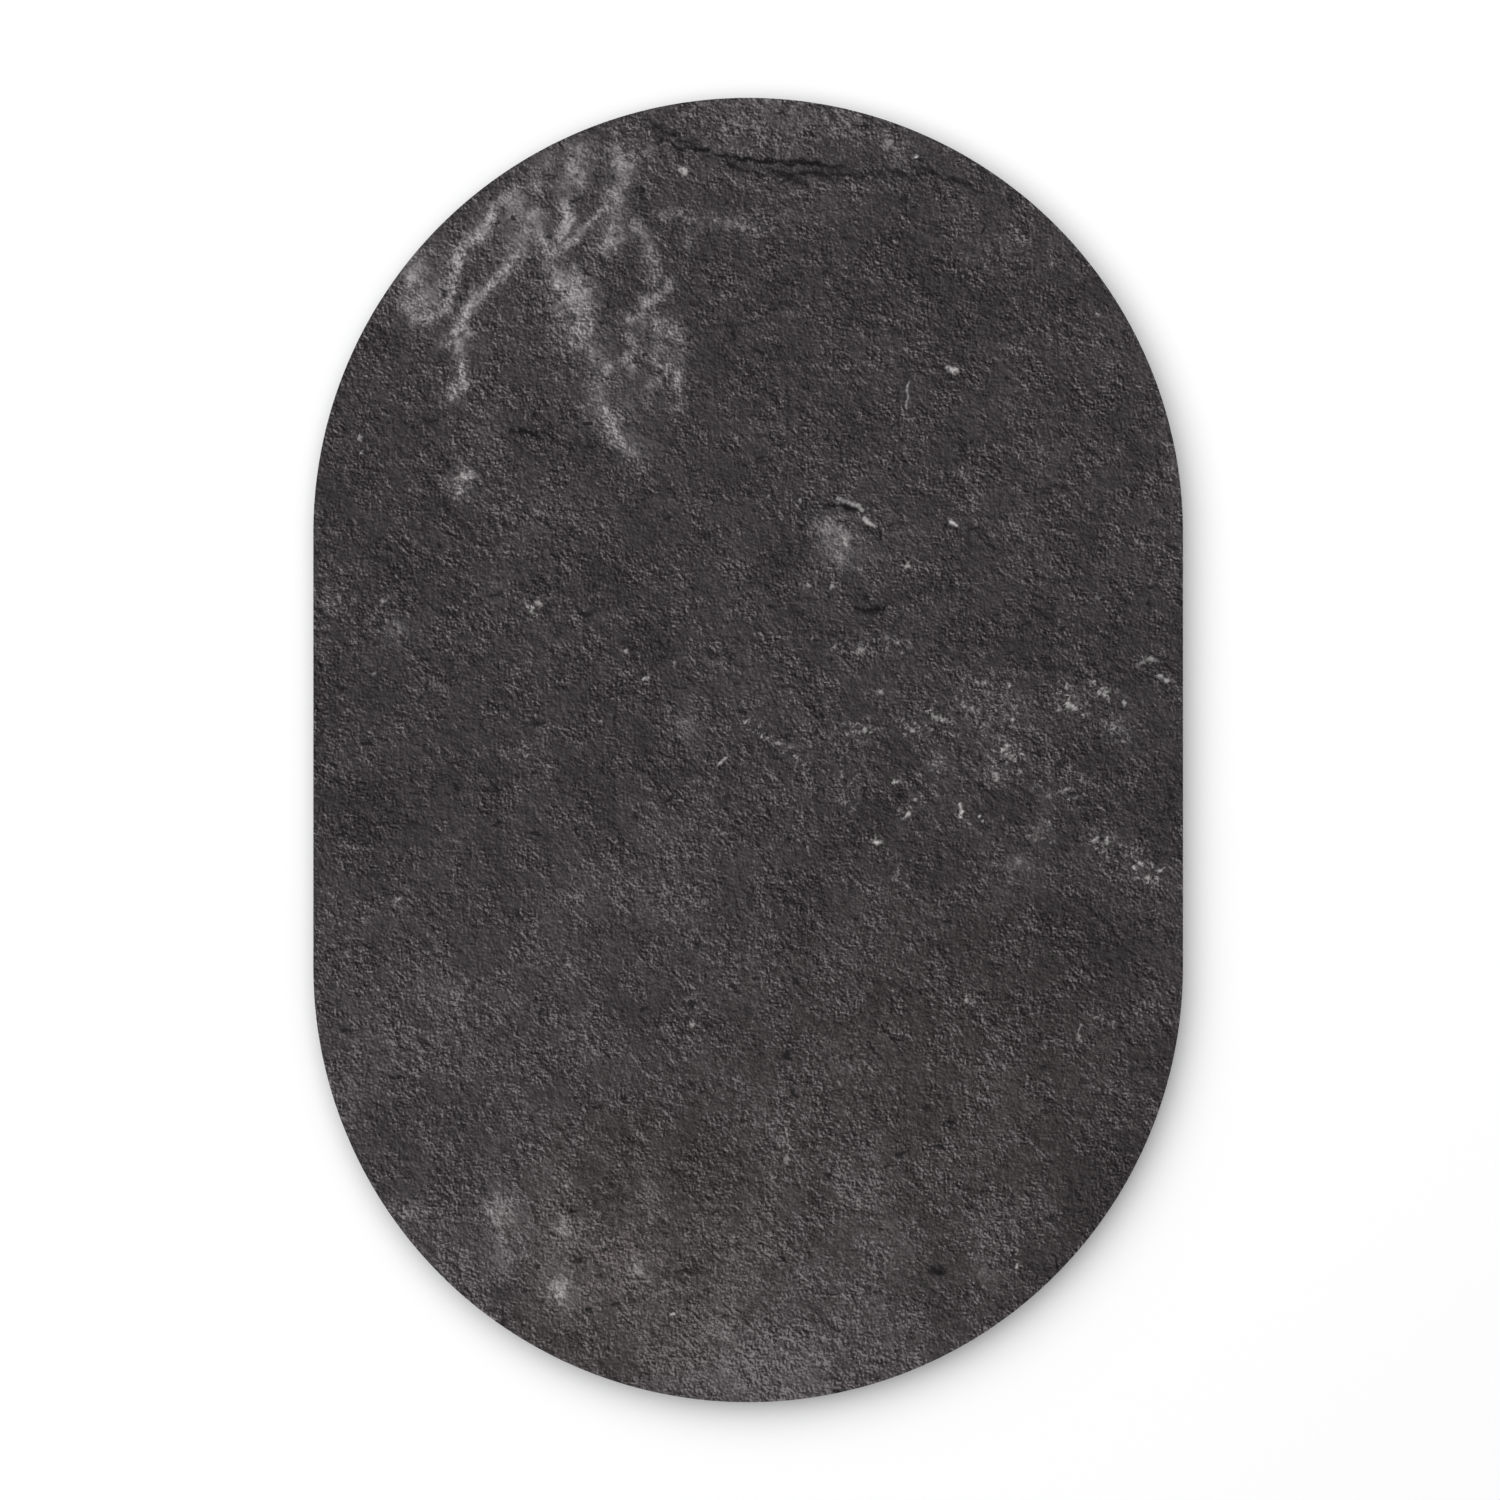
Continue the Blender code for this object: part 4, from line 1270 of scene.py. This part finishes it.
@dataclass
class Plug:
    """A moulded wall plug: a plain collar, then two barbed legs either side of a split."""

    wall_mm: float = 0.7
    lead_in_mm: float = 0.5
    split_from_mm: float = 9.0
    split_half_mm: float = 0.45
    barb_mm: float = 2.6
    barb_rise: float = 0.25
    root_mm: float = 0.4
    nose_mm: float = 2.0
    nose_clear_mm: float = 1.0
    # Shares of the outer radius.
    mouth_share: float = 0.97
    foot_share: float = 0.95
    root_share: float = 0.9
    valley_share: float = 0.88
    nose_share: float = 0.72
    # Shares of the bore's radius.
    leg_bore_share: float = 1.01
    nose_bore_share: float = 0.86
    # Share of the collar's length at which it starts to narrow.
    waist_share: float = 0.9

    def build(self, node: str) -> None:
        """Mould one plug.

        Args:
            node: the CAD plug that it replaces.
        """
        low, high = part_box(node)
        long, outer = high.y - low.y, (high.z - low.z) / 2
        bore, split, barb = outer - self.wall_mm * MM, self.split_from_mm * MM, self.barb_mm * MM
        collar = (
            (bore, 0.0), (outer * self.mouth_share, 0.0), (outer, self.lead_in_mm * MM),
            (outer, split * self.waist_share), (outer * self.foot_share, split), (bore, split),
        )
        root, leg_bore = split - self.root_mm * MM, bore * self.leg_bore_share
        leg = [(leg_bore, root), (outer * self.root_share, root), (outer * self.root_share, split)]
        along = split
        while along + barb < long - self.nose_clear_mm * MM:
            leg += [(outer, along + barb * self.barb_rise), (outer * self.valley_share, along + barb)]
            along += barb
        leg += [(outer * self.nose_share, long), (bore * self.nose_bore_share, long)]
        leg.append((leg_bore, long - self.nose_mm * MM))
        gap = math.asin(self.split_half_mm * MM / outer)
        leg_turn = math.pi - 2 * gap
        bm = bmesh.new()
        for outline, steps, start, turn in (
            (collar, 40, 0.0, FULL_TURN), (leg, 18, gap, leg_turn), (leg, 18, math.pi + gap, leg_turn),
        ):
            shell = bmesh.new()
            turn_outline(shell, outline, True, steps, start, turn)
            take_shell(bm, shell)
        centre = ((low.x + high.x) / 2, low.y, (low.z + high.z) / 2)
        bmesh.ops.translate(bm, verts=bm.verts[:], vec=centre)
        add_piece(
            bm, f"moulded_{node}", "wall_side", (NYLON,), (node,),
            smooth_below=30.0, turn_out=False,
        )


@dataclass
class Fixings:
    """Three pan-head screws with their washers and wall plugs."""

    places: tuple[str, ...] = ("left", "middle", "right")

    def build(self) -> None:
        """Build every fixing in its place."""
        for place in self.places:
            Washer().build(f"washer_{place}", f"wall_screw_{place}")
            Screw().build(f"wall_screw_{place}")
            Plug().build(f"wall_plug_{place}")


# ---------------------------------------------------------------- stage, light and camera


@dataclass
class Studio:
    """White wall and pale floor in one sweep, a soft light on each side of the wall, and the camera."""

    view_width: float = 0.6899
    side_shift: float = 0.00085
    lens: float = 200.0
    sensor: float = 36.0
    wall_behind: float = 0.0002
    floor_drop: float = 1.1
    cove: float = 0.35
    reach: float = 12.0
    dome: float = 0.46
    backdrop: float = 0.60
    key_power: float = 102.0
    key_size: float = 4.76
    key_side: tuple[float, float, float] = (-0.30, -1.0, 0.325)
    rear_power: float = 75.0
    rear_size: float = 2.45
    rear_side: tuple[float, float, float] = (0.7, 1.0, 0.8)
    light_distance: float = 3.0
    view_end: float = 100.0

    def build(self) -> None:
        """Set the stage, the lights and the camera."""
        low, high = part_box("stone_face")
        middle = (low + high) / 2
        self._stage(low.z - self.floor_drop)
        self._world()
        aim = Vector((middle.x, low.y, middle.z))
        self._light("key", aim, Vector(self.key_side), self.key_power, self.key_size)
        self._light("rear_fill", aim, Vector(self.rear_side), self.rear_power, self.rear_size)
        lens = bpy.data.cameras.new("camera")
        lens.lens, lens.sensor_width, lens.clip_end = self.lens, self.sensor, self.view_end
        camera = bpy.data.objects.new("camera", lens)
        away = self.view_width * self.lens / self.sensor
        camera.location = (middle.x + self.side_shift, low.y - away, middle.z)
        camera.rotation_euler = (math.pi / 2, 0.0, 0.0)
        bpy.context.scene.collection.objects.link(camera)
        bpy.context.scene.camera = camera
        # The plain transform keeps a white wall white beside near-black stone.
        bpy.context.scene.view_settings.view_transform = "Standard"

    def _stage(self, floor: float) -> None:
        """Bend one sheet into wall, cove and floor.

        Args:
            floor: height of the floor.
        """
        bm = bmesh.new()
        outline = ((self.wall_behind, self.reach), (self.wall_behind, floor), (-self.reach, floor))
        corners = [bm.verts.new((-self.reach, y, z)) for y, z in outline]
        for pair in zip(corners, corners[1:]):
            bm.edges.new(pair)
        bmesh.ops.bevel(
            bm, geom=[corners[1]], offset=self.cove, segments=16, affect="VERTICES", profile=0.5,
            material=-1, offset_type="OFFSET", clamp_overlap=False,
        )
        swept = bmesh.ops.extrude_edge_only(bm, edges=bm.edges[:])["geom"]
        moved = [item for item in swept if isinstance(item, bmesh.types.BMVert)]
        bmesh.ops.translate(bm, verts=moved, vec=(2 * self.reach, 0, 0))
        bmesh.ops.recalc_face_normals(bm, faces=bm.faces[:])
        if max(bm.faces, key=lambda face: face.calc_center_median().z).normal.y > 0:
            bmesh.ops.reverse_faces(bm, faces=bm.faces[:])
        for face in bm.faces:
            face.smooth = face.calc_area() < 2 * self.reach * self.cove
        mesh = bpy.data.meshes.new("stage_sweep")
        bm.to_mesh(mesh)
        bm.free()
        mesh.materials.append(material_of(StudioPaint()))
        sweep = bpy.data.objects.new("stage_sweep", mesh)
        bpy.context.scene.collection.objects.link(sweep)
        # The wall takes shadows but hides no light from the back of the panel.
        sweep.visible_shadow = False
        sweep.visible_diffuse = False
        sweep.visible_glossy = False

    def _world(self) -> None:
        """Light the studio evenly from all round."""
        world = bpy.data.worlds.new("soft_dome")
        world.use_nodes = True
        background = world.node_tree.nodes["Background"]
        background.inputs["Color"].default_value = (self.dome, self.dome, self.dome, 1.0)
        # It lights the panel at one strength and is seen at another, so the back stands on pale ground.
        seen = add_node(world.node_tree, "LightPath").outputs["Is Camera Ray"]
        strength = add_node(world.node_tree, "MapRange", {}, {
            "Value": seen, "To Min": 1.0, "To Max": self.backdrop / self.dome,
        })
        world.node_tree.links.new(strength.outputs[0], background.inputs["Strength"])
        bpy.context.scene.world = world

    def _light(self, name: str, aim: Vector, side: Vector, power: float, size: float) -> None:
        """Hang one soft box.

        Args:
            name: the light's name.
            aim: the point that it faces.
            side: which way it lies from that point.
            power: its power in watts.
            size: its width in metres.
        """
        lamp = bpy.data.lights.new(name, "AREA")
        lamp.shape, lamp.size, lamp.energy = "DISK", size, power
        holder = bpy.data.objects.new(name, lamp)
        holder.location = aim + side.normalized() * self.light_distance
        holder.rotation_euler = side.to_track_quat("Z", "Y").to_euler()
        holder.visible_camera = False
        bpy.context.scene.collection.objects.link(holder)


def main() -> None:
    """Build the sub-assemblies in order."""
    logging.basicConfig(level=logging.INFO, format="%(name)s: %(message)s")
    for part in (Studio(), RivenSlab(), Layers(), Rails(), Fixings()):
        part.build()
        LOG.info("%s done", type(part).__name__)


if __name__ == "__main__":
    main()
